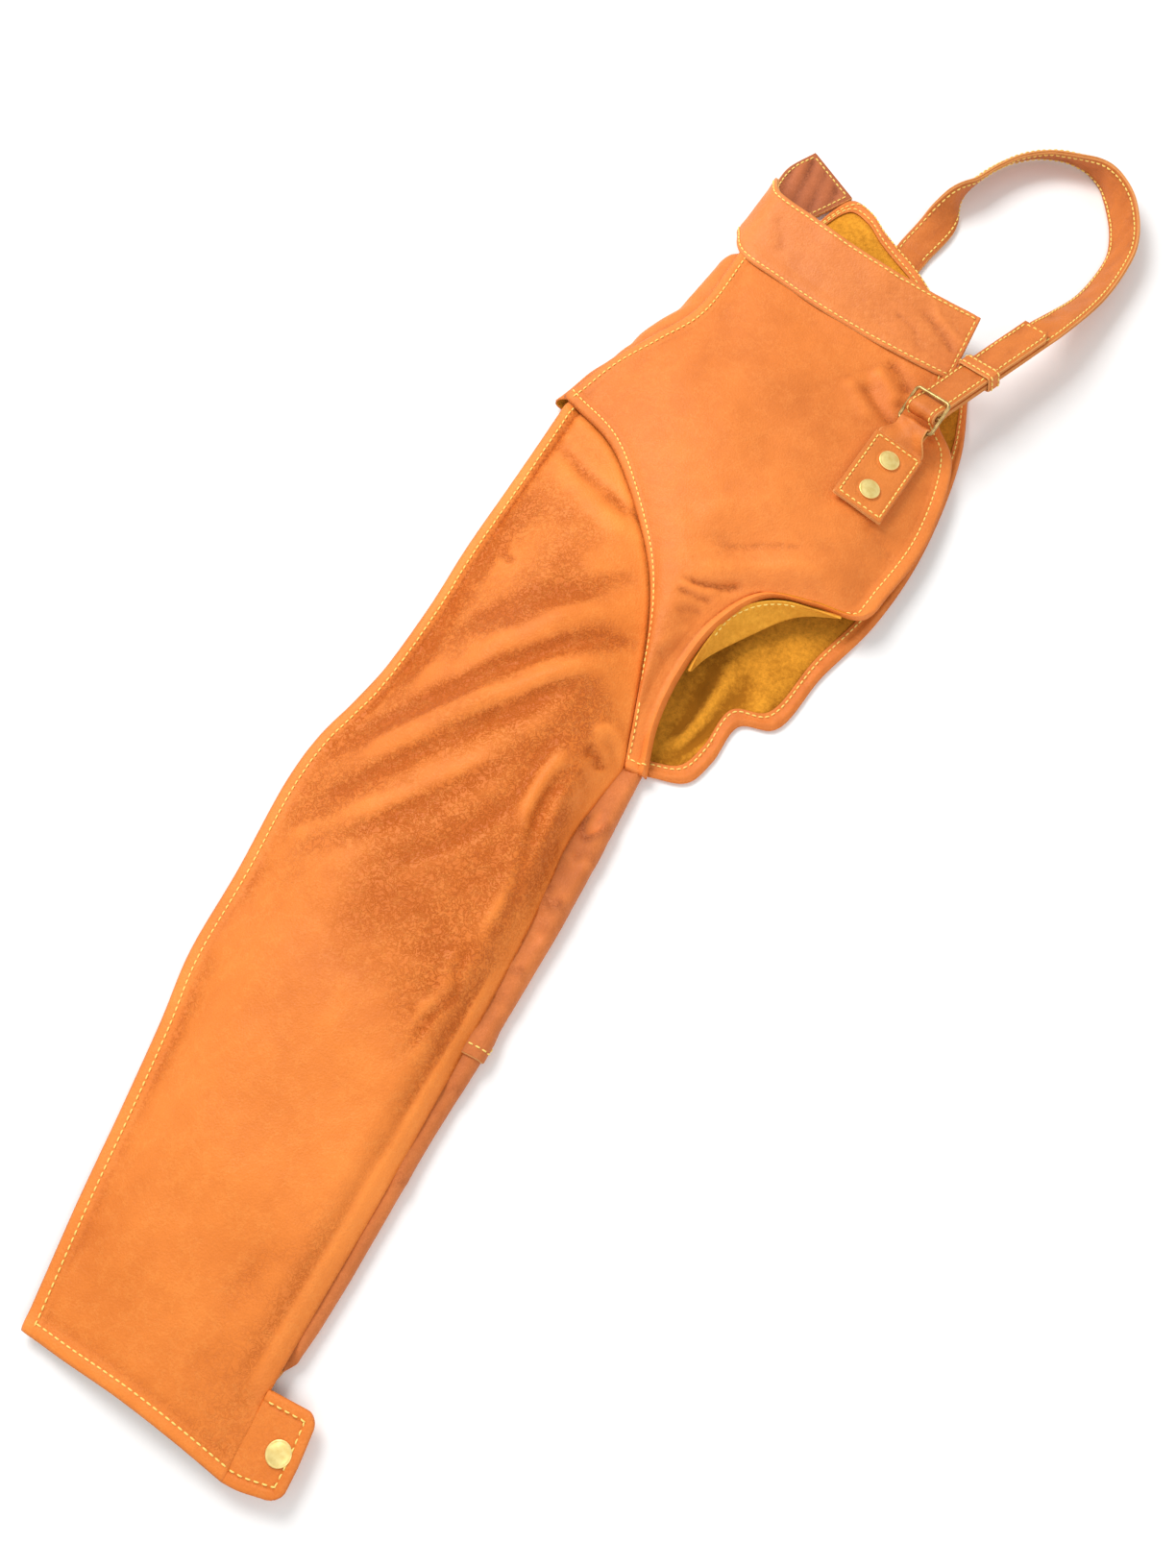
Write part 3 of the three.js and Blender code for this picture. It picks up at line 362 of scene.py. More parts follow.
def shell(name, grid, thickness, faces, shade_and_tone=None):
    """A leather layer about a patch: materials for its upper face, lower face and edge. It returns the
    object and the two faces' points with their normals."""
    rows, columns = grid.shape[:2]
    n = normals(grid)
    half = thickness / 2
    top, bottom = grid + n * half, grid - n * half
    shade_and_tone = np.full((rows, columns), 0.5) if shade_and_tone is None else 0.5 + shade_and_tone
    ring = [(0, c) for c in range(columns)] + [(r, columns - 1) for r in range(1, rows)]
    ring += [(rows - 1, c) for c in range(columns - 2, -1, -1)] + [(r, 0) for r in range(rows - 2, 0, -1)]
    rim = np.array([grid[r, c] for r, c in ring])
    rim_normal = np.array([n[r, c] for r, c in ring])
    way = np.roll(rim, -1, 0) - np.roll(rim, 1, 0)
    rim_out = unit(np.cross(way, rim_normal)) * half * 0.8
    points = np.vstack([top.reshape(-1, 3), bottom.reshape(-1, 3), rim + rim_out])
    index = np.arange(rows * columns).reshape(rows, columns)
    quad = np.stack([index[:-1, :-1], index[:-1, 1:], index[1:, 1:], index[1:, :-1]], -1).reshape(-1, 4)
    base = rows * columns
    around = np.array([r * columns + c for r, c in ring])
    after = np.roll(around, -1)
    middle = 2 * base + np.arange(len(ring))
    middle_after = np.roll(middle, -1)
    upper = np.stack([around, middle, middle_after, after], -1)
    lower = np.stack([middle, around + base, after + base, middle_after], -1)
    polygons = np.vstack([quad, quad[:, ::-1] + base, upper, lower])
    slots = np.repeat([0, 1, 2], [len(quad), len(quad), 2 * len(ring)]).astype(np.int32)
    mesh = bpy.data.meshes.new(name)
    mesh.from_pydata(points.tolist(), [], polygons.tolist())
    for material in faces:
        mesh.materials.append(material)
    mesh.polygons.foreach_set("material_index", slots)
    # Painted shade and highlight, with random tone, go to the leather's colour ramp as a point attribute.
    shade = mesh.attributes.new("shade_and_tone", "FLOAT", "POINT")
    tones = np.concatenate([shade_and_tone.ravel(), shade_and_tone.ravel(), shade_and_tone.ravel()[around]])
    shade.data.foreach_set("value", tones.astype(np.float32))
    mesh.polygons.foreach_set("use_smooth", np.ones(len(polygons), bool))
    mesh.set_sharp_from_angle(angle=math.radians(60))
    mesh.update()
    piece = bpy.data.objects.new(name, mesh)
    bpy.context.scene.collection.objects.link(piece)
    return piece, (top, n), (bottom, -n)


LINE_POINTS = 400


def inset(face, edge, distance, first=0.0, last=0.0):
    """A line on a leather face at an even distance from one of its edges, cut short at its two ends."""
    points, n = face
    both = np.concatenate([points, n], axis=2)
    if edge in ("near", "far"):
        both = both.transpose(1, 0, 2)
    if edge in ("end", "far"):
        both = both[:, ::-1]
    reach = edge_distance(both[..., :3], "start")
    line = np.array([[np.interp(distance, gone, value) for value in row.T] for gone, row in zip(reach, both)])
    length = np.linalg.norm(np.diff(line[:, :3], axis=0), axis=1).sum()
    return resample(line, LINE_POINTS, first / length, 1 - last / length)


thread = bpy.data.materials.new("thread")
thread.use_nodes = True
thread_shader = thread.node_tree.nodes["Principled BSDF"]
thread_shader.inputs["Roughness"].default_value = 0.6
thread_shader.inputs["Specular IOR Level"].default_value = 0.2
twist = thread.node_tree.nodes.new("ShaderNodeTexNoise")
twist.inputs["Scale"].default_value = 900.0
twist_place = thread.node_tree.nodes.new("ShaderNodeTexCoord")
twist_ramp = thread.node_tree.nodes.new("ShaderNodeValToRGB")
twist_ramp.color_ramp.elements[0].color = (0.90, 0.60, 0.12, 1)
twist_ramp.color_ramp.elements[1].color = (1.0, 0.82, 0.26, 1)
thread.node_tree.links.new(twist_place.outputs["Object"], twist.inputs["Vector"])
thread.node_tree.links.new(twist.outputs["Fac"], twist_ramp.inputs["Fac"])
thread.node_tree.links.new(twist_ramp.outputs["Color"], thread_shader.inputs["Base Color"])
STITCH = 0.0034
STITCH_PITCH = 0.0044
THREAD = 0.00058


def sew(name, lines, body):
    """Lockstitches along lines that hold points and the leather's normals: a short pulled-down
    bead of thread for each stitch, all in one piece."""
    sides = 6
    ring = np.linspace(0, 2 * math.pi, sides, endpoint=False)
    stations = [(-0.5, 0.3, -0.5), (-0.36, 0.85, 0.35), (0.0, 1.0, 0.75), (0.36, 0.85, 0.35),
                (0.5, 0.3, -0.5)]
    points, polygons = [], []
    for line in lines:
        length = np.linalg.norm(np.diff(line[:, :3], axis=0), axis=1).sum()
        count = max(2, int(length / STITCH_PITCH))
        even = resample(line, count * 2 + 1)
        for k in range(count):
            middle = even[2 * k + 1]
            way = unit(even[2 * k + 2][:3] - even[2 * k][:3])
            n = unit(middle[3:6])
            side = unit(np.cross(n, way))
            n = np.cross(way, side)
            first = len(points)
            for step, thick, rise in stations:
                core = middle[:3] + way * step * STITCH + n * rise * THREAD
                points.extend(core + THREAD * thick * (math.cos(a) * side + math.sin(a) * n) for a in ring)
            last = first + sides * (len(stations) - 1)
            for row in range(first, last, sides):
                for a in range(sides):
                    b = (a + 1) % sides
                    polygons.append([row + a, row + b, row + sides + b, row + sides + a])
            polygons.append([first + a for a in reversed(range(sides))])
            polygons.append([last + a for a in range(sides)])
    mesh = bpy.data.meshes.new(name)
    mesh.from_pydata([tuple(p) for p in points], [], polygons)
    mesh.materials.append(thread)
    mesh.polygons.foreach_set("use_smooth", np.ones(len(polygons), bool))
    piece = bpy.data.objects.new(name, mesh)
    bpy.context.scene.collection.objects.link(piece)
    if body:
        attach(piece, body)
    return piece


def turned_edge(d, lip, rise, groove):
    """Height of a turned and topstitched edge: a round lip, then a groove that the stitches pull in."""
    lip_part = rise * (1 - smooth(d, lip, lip + 0.004)) - 0.0011 * np.clip(1 - d / 0.0026, 0, 1) ** 2
    return lip_part - groove * near_line(d, lip, 0.0014)


LIP_Z = 2.9
shoulder_point = body_at(-0.004, 0.593, 14)
armpit = body_at(0.575, 0.005, 11)
cuff_outer = sleeve_at(-0.403, 0.015, LIP_Z)
cuff_inner = sleeve_at(0.42, -0.022, 13)
VENT = 0.105


def cuff_rise(t):
    return 0.0032 * (1 - smooth(t, VENT * 0.9, VENT * 1.8))


def outer_seam(count):
    line = curve([cuff_outer, sleeve_at(-0.437, 0.11, LIP_Z), sleeve_at(-0.48, 0.235, LIP_Z),
                  sleeve_at(-0.537, 0.415, LIP_Z), sleeve_at(-0.576, 0.51, LIP_Z),
                  sleeve_at(-0.579, 0.638, LIP_Z), sleeve_at(-0.594, 0.787, LIP_Z),
                  sleeve_at(-0.572, 0.86, LIP_Z + 1),
                  sleeve_at(-0.496, 0.962, LIP_Z + 2), body_at(-0.054, 0.112, 7), body_at(-0.045, 0.25, 9),
                  body_at(-0.028, 0.38, 11), body_at(-0.015, 0.48, 13), shoulder_point], count)
    line[:, 2] += cuff_rise(np.linspace(0, 1, count))
    return line


INNER_FOLD = [cuff_inner, sleeve_at(0.42, 0.09, 13), sleeve_at(0.452, 0.35, 14), sleeve_at(0.472, 0.62, 15),
              sleeve_at(0.472, 0.76, 16), sleeve_at(0.456, 0.86, 16), sleeve_at(0.478, 0.936, 14), armpit]
ARMHOLE = [shoulder_point, body_at(0.165, 0.528, 25), body_at(0.304, 0.428, 30), body_at(0.415, 0.325, 30),
           body_at(0.478, 0.233, 27), body_at(0.545, 0.083, 21), armpit]
ACROSS, ALONG = 96, 330
outer = outer_seam(ALONG)
hem = curve([outer[0], sleeve_at(-0.23, 0.009, 10), sleeve_at(0, 0.003, 15), sleeve_at(0.23, -0.009, 15),
             cuff_inner], ACROSS)
grid = between(hem, curve(ARMHOLE, ACROSS), outer, curve(INNER_FOLD, ALONG))
u = np.linspace(0, 1, ACROSS)[None, :]
v = np.linspace(0, 1, ALONG)[:, None]
puffed = smooth(v, 0, 0.25) * smooth(1 - v, 0, 0.2) * smooth(u, 0.04, 0.3) * smooth(1 - u, 0, 0.16)
grid[..., 2] += 0.012 * puffed
from_outer, from_inner = edge_distance(grid, "start"), edge_distance(grid, "end")
from_hem, from_armhole = edge_distance(grid, "near"), edge_distance(grid, "far")
clear = smooth(from_outer, 0.006, 0.016) * smooth(from_hem, HEM, 0.02)
uneven = 0.75 + 0.40 * ripple(grid, 0.045, 12)
SLEEVE_FOLDS = [
    ([(-64, 676), (-36, 655), (0, 639), (24, 630), (44, 628)], -0.0026, 0.005, 0.008),
    ([(-58, 664), (-30, 640), (4, 622), (34, 612)], 0.0020, 0.007, 0.009),
    ([(-63, 600), (-60, 560), (-62, 520), (-66, 482), (-76, 448)], -0.0032, 0.008, 0.011),
    ([(-54, 590), (-47, 572), (-36, 566)], -0.0016, 0.002, 0.004),
    ([(-62, 490), (-29, 528), (2, 556), (36, 584), (58, 590)], -0.0034, 0.008, 0.010),
    ([(-78, 440), (-40, 482), (-4, 520), (34, 556), (66, 566)], 0.0030, 0.010, 0.008),
    ([(-88, 404), (-44, 452), (-2, 497), (42, 536), (78, 548)], -0.0042, 0.006, 0.009),
    ([(-92, 372), (-46, 424), (0, 472), (36, 508), (74, 520)], 0.0034, 0.009, 0.009),
    ([(-84, 352), (-40, 402), (8, 458), (36, 494), (54, 508)], -0.0038, 0.006, 0.008),
    ([(-56, 350), (-20, 392), (14, 436), (34, 470), (44, 492)], 0.0028, 0.008, 0.007),
    ([(-70, 320), (-30, 362), (0, 398), (22, 432)], -0.0016, 0.006, 0.008),
    ([(-20, 330), (20, 372), (40, 410), (44, 450), (50, 480)], -0.0026, 0.009, 0.005),
    ([(-88, 330), (-60, 352), (-30, 384)], 0.0014, 0.006, 0.006),
    ([(-30, 520), (0, 546), (30, 566)], -0.0010, 0.003, 0.004),
    ([(-10, 470), (16, 496), (40, 520)], -0.0012, 0.003, 0.004),
    ([(60, 312), (64, 335), (63, 359), (58, 385), (52, 410), (53, 440), (60, 462)], 0.0036, 0.006, 0.005),
    ([(66, 318), (69, 335), (68, 359), (64, 385), (59, 408), (61, 436), (70, 452)], -0.0040, 0.005, 0.006),
    ([(60, 322), (60, 302), (65, 286), (61, 273), (58, 261), (58, 249), (54, 237)], -0.0022, 0.0025, 0.005),
    ([(55, 318), (54, 300), (58, 284), (53, 268), (50, 250)], 0.0016, 0.006, 0.004),
    ([(62, 474), (74, 482), (84, 478), (90, 466)], 0.0032, 0.004, 0.005),
    ([(64, 464), (72, 462), (80, 456)], -0.0034, 0.004, 0.005),
    ([(70, 448), (76, 420), (76, 392)], 0.0016, 0.004, 0.005),
    ([(70, 300), (74, 270), (70, 240), (68, 200)], -0.0010, 0.004, 0.006),
    ([(30, 300), (44, 282), (50, 262)], 0.0014, 0.010, 0.010),
    ([(-78, 300), (-82, 240), (-80, 180), (-74, 120)], -0.0012, 0.010, 0.018),
    ([(20, 60), (34, 90), (40, 130)], -0.0012, 0.012, 0.012),
    ([(-40, 40), (-46, 90), (-50, 150)], 0.0010, 0.016, 0.016)]
lift = folds(grid, SLEEVE_FOLDS) * clear * uneven
lift += (ripple(grid, 0.075, 3) * 0.0009 + ripple(grid, 0.020, 5) * 0.00016) * clear
crumple = near_line(from_outer, 0.012, 0.012) * smooth(v, 0.45, 0.62)
lift += ripple(grid, 0.007, 8) * 0.00030 * crumple
pucker = np.sin(v * 2 * math.pi * 150 + 2.0 * np.sin(v * 60)) * near_line(from_outer, 0.007, 0.0035)
lift += pucker * 0.00022 * smooth(v, 0.3, 0.6)
lift += turned_edge(from_outer, HEM, 0.0014, 0.0009)
lift += turned_edge(from_hem, HEM, 0.0012, 0.0008)
lift -= 0.0022 * near_line(from_outer, 0.0115, 0.0030) * smooth(v, 0.5, 0.7)
rolled = smooth(v, 0.07, 0.14) * (1 - smooth(v, 0.60, 0.68))
lift += 0.0026 * near_line(from_inner, 0.009, 0.006) * rolled
lift -= 0.0014 * np.clip(1 - from_inner / 0.005, 0, 1) ** 2 * smooth(v, 0.075, 0.095)
lift -= 0.0030 * (1 - smooth(from_armhole, 0.0, 0.010))
grid[..., 2] += lift
# Painted shading: highlight on the sleeve's fold crests and shade in their hollows.
shade_and_tone = painted_fold_shading(lift)
# Painted shade, darker towards the inner fold over the cuff end, where the sleeve turns down.
shade_and_tone -= 0.10 * near_line(from_inner, 0, 0.05) * (1 - smooth(v, 0.2, 0.35))
# Painted shade where the sleeve dips under the front panel's edge at the armhole.
shade_and_tone -= 0.20 * near_line(from_armhole, 0, 0.004)
# Painted shade: a broad darker region over the upper sleeve, clear of the outer seam, uneven by a ripple.
upper_sleeve_shade = smooth(v, 0.40, 0.58) * (1 - smooth(v, 0.86, 0.97)) * smooth(from_outer, 0.008, 0.02)
shade_and_tone -= upper_sleeve_shade * (0.24 + 0.12 * ripple(grid, 0.05, 14))
sleeve_top, sleeve_face, _ = shell("sleeve_upper_leather", grid, LEATHER,
                                   [sleeve_leather, suede, sleeve_leather], shade_and_tone)
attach(sleeve_top, "garment")
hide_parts("sleeve_top_panel")
sew("sleeve_stitching", [inset(sleeve_face, "start", HEM, 0.006, 0.004),
                         inset(sleeve_face, "near", HEM, HEM, 0.001)], "garment")


def lay(piece, nodes=(), body="garment"):
    if body:
        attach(piece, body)
    if nodes:
        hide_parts(*nodes)


# The under sleeve: two panels that lie on the table and curl up round the arm's inner side, where
# a creased strip of them shows beside the fold. They are lapped and sewn across near the elbow.
INSEAM = [sleeve_at(0.395, 0, 0), sleeve_at(0.4, 0.09, 0), sleeve_at(0.45, 0.14, 0),
          sleeve_at(0.472, 0.21, 0), sleeve_at(0.486, 0.3, 0), sleeve_at(0.503, 0.425, 0),
          sleeve_at(0.537, 0.575, 0), sleeve_at(0.573, 0.81, 0), sleeve_at(0.577, 1.014, 0)]
BACK_ARMHOLE = [body_at(0.045, 0.575, 0.8), body_at(0.2, 0.36, 0.8), body_at(0.42, 0.15, 0.8),
                body_at(0.63, 0.012, 0.8)]
CROSS_SEAM = 0.56
SEAM_STEP = np.array([0.0012, 0.0012, 0])
LAP, LAP_RISE = 0.008, 0.0019
under_leather = leather("under_leather", (0.72, 0.215, 0.052), (0.36, 0.085, 0.020))


def along_line(line, share):
    place = np.clip(share, 0, 1) * (len(line) - 1)
    return np.array([np.interp(place, np.arange(len(line)), line[:, k]) for k in range(3)]).T


def under_sleeve(first, last, rows, lap):
    t = np.linspace(first, last, rows)
    edge = along_line(curve(INSEAM, 600), t)
    fold_line = along_line(curve(INNER_FOLD, 600), t)
    outside = along_line(outer_seam(600), t * 0.985)
    low = HALF + cuff_rise(t * 0.985)
    armhole_part = smooth(t, CROSS_SEAM, 1)[:, None]
    curl = smooth(t, VENT, VENT * 1.5)
    radius = (fold_line[:, 2] - 1.15 * LAYER_PITCH - low) / 2
    flat_end = edge[:, 0] - radius
    columns = []
    for share in np.linspace(0, 1, 44):
        straight = np.stack([outside[:, 0] + (flat_end - outside[:, 0]) * share,
                             outside[:, 1] + (edge[:, 1] - outside[:, 1]) * share, low], 1)
        seam = along_line(curve(BACK_ARMHOLE, 600), np.full(rows, share * 0.9)) - SEAM_STEP
        seam[:, 2] = low
        place = straight + (seam - straight) * armhole_part
        rise = np.maximum(outside[:, 2] - LAYER_PITCH - low, 0) * (1 - smooth(share, 0, 0.09))
        place[:, 2] += rise
        columns.append(place)
    for angle in np.linspace(0, math.pi, 26)[1:]:
        turned = angle * curl
        reach = flat_end + radius * np.sin(turned) + (1 - curl) * angle * 0.00095
        columns.append(np.stack([reach, edge[:, 1], low + radius * (1 - np.cos(turned))], 1))
    tuck_end = np.minimum(flat_end - 0.008, fold_line[:, 0] - 0.010)
    for share in np.linspace(0, 1, 14)[1:]:
        reach = flat_end + (tuck_end - flat_end) * share * curl + (1 - curl) * (0.003 + share * 0.001)
        columns.append(np.stack([reach, edge[:, 1], low + 2 * radius * curl], 1))
    grid = np.stack(columns, 1)
    n = normals(grid)
    shown = smooth(grid[..., 2], 0.004, 0.009) * smooth(np.arange(grid.shape[1]), 44, 50)
    crease = folds(grid, [
            ([(88, 435), (84, 422), (89, 415), (94, 420), (100, 434)], 0.0016, 0.0025, 0.004),
            ([(91, 438), (88, 426), (91, 421), (96, 430)], -0.0016, 0.003, 0.003),
            ([(82, 404), (90, 396), (99, 404)], -0.0020, 0.004, 0.006),
            ([(80, 380), (88, 366), (98, 372)], 0.0018, 0.005, 0.006),
            ([(80, 360), (88, 345), (97, 340)], -0.0016, 0.005, 0.006),
            ([(80, 330), (86, 318), (96, 322)], 0.0013, 0.004, 0.006),
            ([(79, 300), (86, 292), (95, 298)], -0.0012, 0.004, 0.005),
            ([(79, 240), (85, 230), (92, 236)], -0.0012, 0.004, 0.006),
            ([(78, 200), (83, 180), (89, 170)], 0.0012, 0.004, 0.006)])
    crease += ripple(grid, 0.012, 21) * 0.00018 + ripple(grid, 0.040, 22) * 0.0005
    grid -= n * (crease * shown)[..., None]
    if lap:
        over = (1 - smooth(edge_distance(grid, "near"), 0.008, 0.016)) * smooth(grid[..., 2], 0.003, 0.009)
        grid -= n * (over * LAP_RISE)[..., None]
        back = 1 - smooth(edge_distance(grid, "near"), 0, 0.02)
        grid[..., 1] -= LAP * back * smooth(grid[..., 2], 0.003, 0.009)
    # Painted shade in the creases and painted highlight on their crests.
    return grid, painted_fold_shading(-crease * shown) * 1.3


for name, first, last, rows, lap in [("under_sleeve_lower", 0.012, CROSS_SEAM, 190, False),
                                     ("under_sleeve_upper", CROSS_SEAM + 0.0019, 1.0, 170, True)]:
    grid, shade_and_tone = under_sleeve(first, last, rows, lap)
    piece, _, under_face = shell(name + "_leather", grid, LEATHER, [suede, under_leather, cut_edge], shade_and_tone)
    lay(piece, nodes=[name])
    if lap:
        seam_line = inset(under_face, "near", 0.0065)
        shown_line = seam_line[seam_line[:, 2] > 0.005]
        sew("cross_seam_stitching", [shown_line], "garment")


# The front panel lies over the shoulder. Its edges on the armhole and the shoulder are lapped and
# topstitched, its front edge is turned, and the underarm opening has a rolled rim.
panel_leather = leather("panel_leather", (0.89, 0.262, 0.050), (0.46, 0.105, 0.016))
ARMHOLE_SEAM, SHOULDER_SEAM, FRONT_HEM = 0.0075, 0.0070, 0.0090
neck_shoulder = body_at(0.228, 0.995, 26)
neck_front = body_at(0.875, 0.912, 22)
underarm_end = body_at(0.628, 0.008, 8.5)
SHOULDER = [shoulder_point, body_at(0.056, 0.678, 21), body_at(0.13, 0.758, 24), body_at(0.197, 0.84, 25),
            neck_shoulder]
NECK = [neck_shoulder, body_at(0.45, 0.945, 29), body_at(0.66, 0.92, 27), neck_front]
RIM = [underarm_end, body_at(0.602, 0.082, 19), body_at(0.6, 0.178, 25), body_at(0.63, 0.285, 27),
       body_at(0.705, 0.366, 27), body_at(0.82, 0.388, 26), body_at(0.94, 0.405, 22)]
FRONT_EDGE = [body_at(0.97, 0.47, 19), body_at(1, 0.602, 15), body_at(0.968, 0.765, 15),
              body_at(0.892, 0.828, 17), neck_front]
ACROSS, ALONG = 170, 230
under_arm = armpit + (underarm_end - armpit) * np.linspace(0.2, 1, 5)[:, None]
armhole = np.vstack([curve(ARMHOLE, ACROSS - len(under_arm)), under_arm])
grid = between(armhole, curve(NECK, ACROSS), curve(SHOULDER, ALONG), curve(RIM + FRONT_EDGE, ALONG))
u = np.linspace(0, 1, ACROSS)[None, :]
v = np.linspace(0, 1, ALONG)[:, None]
grid[..., 2] += 0.004 * smooth(u, 0, 0.3) * smooth(1 - u, 0, 0.3) * np.sin(math.pi * v)
for edge, a, b in [("near", grid[0], grid[8]), ("start", grid[:, 0], grid[:, 8])]:
    way = unit((a - b) * np.array([1, 1, 0.0]))
    way = way[None] if edge == "near" else way[:, None]
    grid += way * (0.0030 * (1 - smooth(edge_distance(grid, edge), 0, 0.02)))[..., None]
from_armhole, from_shoulder = edge_distance(grid, "near"), edge_distance(grid, "start")
from_edge = edge_distance(grid, "end")
rim_length = np.linalg.norm(np.diff(curve(RIM), axis=0), axis=1).sum()
whole_length = np.linalg.norm(np.diff(curve(RIM + FRONT_EDGE), axis=0), axis=1).sum()
rim_share = rim_length / whole_length
on_rim = 1 - smooth(v, rim_share - 0.01, rim_share + 0.03)
clear = smooth(from_armhole, 0.008, 0.020) * smooth(from_shoulder, 0.008, 0.020)
clear = clear * smooth(from_edge, 0.006, 0.018)
FRONT_FOLDS = [
    ([(68, 597), (87, 602), (110, 617)], -0.0024, 0.0022, 0.005),
    ([(68, 590), (84, 592), (97, 596)], -0.0016, 0.002, 0.004),
    ([(68, 594), (84, 597), (98, 604)], 0.0014, 0.0025, 0.003),
    ([(66, 604), (96, 620), (130, 638), (160, 648)], 0.0026, 0.006, 0.008),
    ([(80, 628), (110, 646), (140, 658)], -0.0010, 0.003, 0.005),
    ([(60, 622), (90, 640), (130, 660), (170, 668)], -0.0022, 0.010, 0.012),
    ([(56, 640), (80, 664), (118, 684)], 0.0020, 0.010, 0.010),
    ([(74, 574), (84, 582), (94, 586)], -0.0010, 0.003, 0.004),
    ([(76, 545), (84, 562), (94, 574)], 0.0016, 0.005, 0.006),
    ([(114, 806), (130, 792), (146, 782), (162, 778)], -0.0036, 0.006, 0.007),
    ([(118, 818), (136, 806), (148, 796)], 0.0030, 0.006, 0.006),
    ([(124, 830), (140, 820), (152, 806)], -0.0024, 0.005, 0.006),
    ([(104, 800), (122, 786), (134, 770)], 0.0020, 0.007, 0.007),
    ([(158, 700), (176, 690), (190, 676)], -0.0012, 0.008, 0.008),
    ([(20, 740), (50, 770), (90, 790)], 0.0012, 0.016, 0.016),
    ([(60, 700), (100, 716), (150, 700)], -0.0012, 0.014, 0.014),
    ([(150, 780), (170, 790), (186, 782)], -0.0018, 0.005, 0.007)]
lift = folds(grid, FRONT_FOLDS) * clear
lift += (ripple(grid, 0.070, 31) * 0.0008 + ripple(grid, 0.018, 32) * 0.00014) * clear
from_crumple = grid[..., :2] - at(95, 610, 0)[:2]
crumple = near_line(from_crumple[..., 0], 0, 0.03) * near_line(from_crumple[..., 1], 0, 0.03)
lift += ripple(grid, 0.006, 33) * 0.00020 * crumple * clear
lift += turned_edge(from_armhole, ARMHOLE_SEAM, 0.0012, 0.0009)
lift += turned_edge(from_shoulder, SHOULDER_SEAM, 0.0012, 0.0008)
lift += turned_edge(from_edge, FRONT_HEM, 0.0012, 0.0009) * (1 - on_rim)
rim_roll = 0.0026 * near_line(from_edge, 0.0026, 0.0020) - 0.0012 * near_line(from_edge, 0.0062, 0.0014)
lift += (rim_roll - 0.0022 * np.clip(1 - from_edge / 0.0016, 0, 1) ** 2) * on_rim
grid[..., 2] += lift
# Painted shading on the folds, and painted shade along the armhole and shoulder edges where they turn down
# into the seams.
shade_and_tone = painted_fold_shading(lift)
shade_and_tone -= 0.20 * near_line(from_armhole, 0, 0.002) + 0.15 * near_line(from_shoulder, 0, 0.002)
piece, front_face, _ = shell("front_panel_leather", grid, LEATHER,
                             [panel_leather, suede, panel_leather], shade_and_tone)
lay(piece, nodes=["front_panel"])
front_lines = [inset(front_face, "near", ARMHOLE_SEAM, 0.001, 0.004),
               inset(front_face, "start", SHOULDER_SEAM, 0.004, 0.002),
               inset(front_face, "end", FRONT_HEM, rim_length - 0.004, 0.002)]
sew("front_panel_stitching", front_lines, "garment")


# The turned hem of the underarm opening: a paler suede strip that hangs from the rim inside the
# opening, deepest near the sleeve and narrow at both ends.
HEM_TOP = [(101, 545, 24.5), (101, 555, 25.2), (103, 573, 25.8), (108, 593.5, 26.2), (120, 609, 26.2),
           (137, 618.5, 26.2), (157, 622, 25.2), (175, 624.5, 23.5)]
HEM_LOW = [(101.5, 546, 23), (103, 555, 18), (106, 564, 15), (113, 576, 13.5), (126, 594, 13),
           (140, 611, 14), (152, 619, 17), (174, 626, 21)]
HEM_ROWS = 200
HEM_LEATHER = 0.0013
low, top = curve([at(*p) for p in HEM_LOW], HEM_ROWS), curve([at(*p) for p in HEM_TOP], HEM_ROWS)
share = np.linspace(0, 1, 22)[None, :, None]
grid = low[:, None] * (1 - share) + top[:, None] * share
bow = np.sin(math.pi * share[..., 0]) * (0.0012 + 0.0008 * np.sin(np.arange(HEM_ROWS) / 9.0))[:, None]
grid = grid + normals(grid) * bow[..., None]
pale_suede = leather("pale_suede", (0.95, 0.45, 0.055), (0.62, 0.24, 0.020), grain=1.0, suede=True)
# Painted shade: the strip darkens from the rim down to its hanging edge, deeper in the opening.
piece, hem_face, hem_back = shell("rim_hem", grid, HEM_LEATHER, [pale_suede, pale_suede, pale_suede],
                                  0.22 * share[..., 0] + np.zeros(grid.shape[:2]) - 0.1)
lay(piece)
seen = hem_face if hem_face[1][..., 2].mean() > 0 else hem_back
sew("rim_hem_stitching", [inset(seen, "end", 0.0022, 0.03, 0.03)], "garment")


# The back panel lies on the table with its suede up. It curls up at the outer shoulder, and its
# outline and neck carry turned leather hems.
BACK_NECK_CORNER = body_at(0.412, 1.238, 0.8)
back_front_corner = body_at(0.93, 0.93, 0.8)
BACK_SHOULDER = [body_at(0.045, 0.575, 0.8), body_at(0.075, 0.7, 0.8), body_at(0.19, 0.86, 0.8),
                 body_at(0.228, 0.99, 0.8), body_at(0.24, 1.03, 0.8)]
BACK_NECK = [body_at(0.24, 1.03, 0.8), body_at(0.33, 1.13, 0.8), BACK_NECK_CORNER, body_at(0.55, 1.18, 0.8),
             body_at(0.703, 1.11, 0.8), back_front_corner]
BACK_OUTLINE = [body_at(0.63, 0.012, 0.8), body_at(0.72, 0.03, 0.8), body_at(0.752, 0.08, 0.8),
                body_at(0.772, 0.158, 0.8), body_at(0.856, 0.18, 0.8), body_at(0.902, 0.3, 0.8),
                body_at(0.966, 0.43, 0.8), body_at(0.999, 0.59, 0.8), body_at(0.983, 0.8, 0.8),
                back_front_corner]
strap_anchor = body_at(0.626, 1.184, 1.85)
ROWS, COLUMNS = 210, 150
flat_part = between(curve(BACK_ARMHOLE, 16), curve(BACK_NECK, 16),
                    curve(BACK_SHOULDER, ROWS), curve(BACK_OUTLINE, ROWS))
shoulder_line = curve(SHOULDER, 600)
rows = []
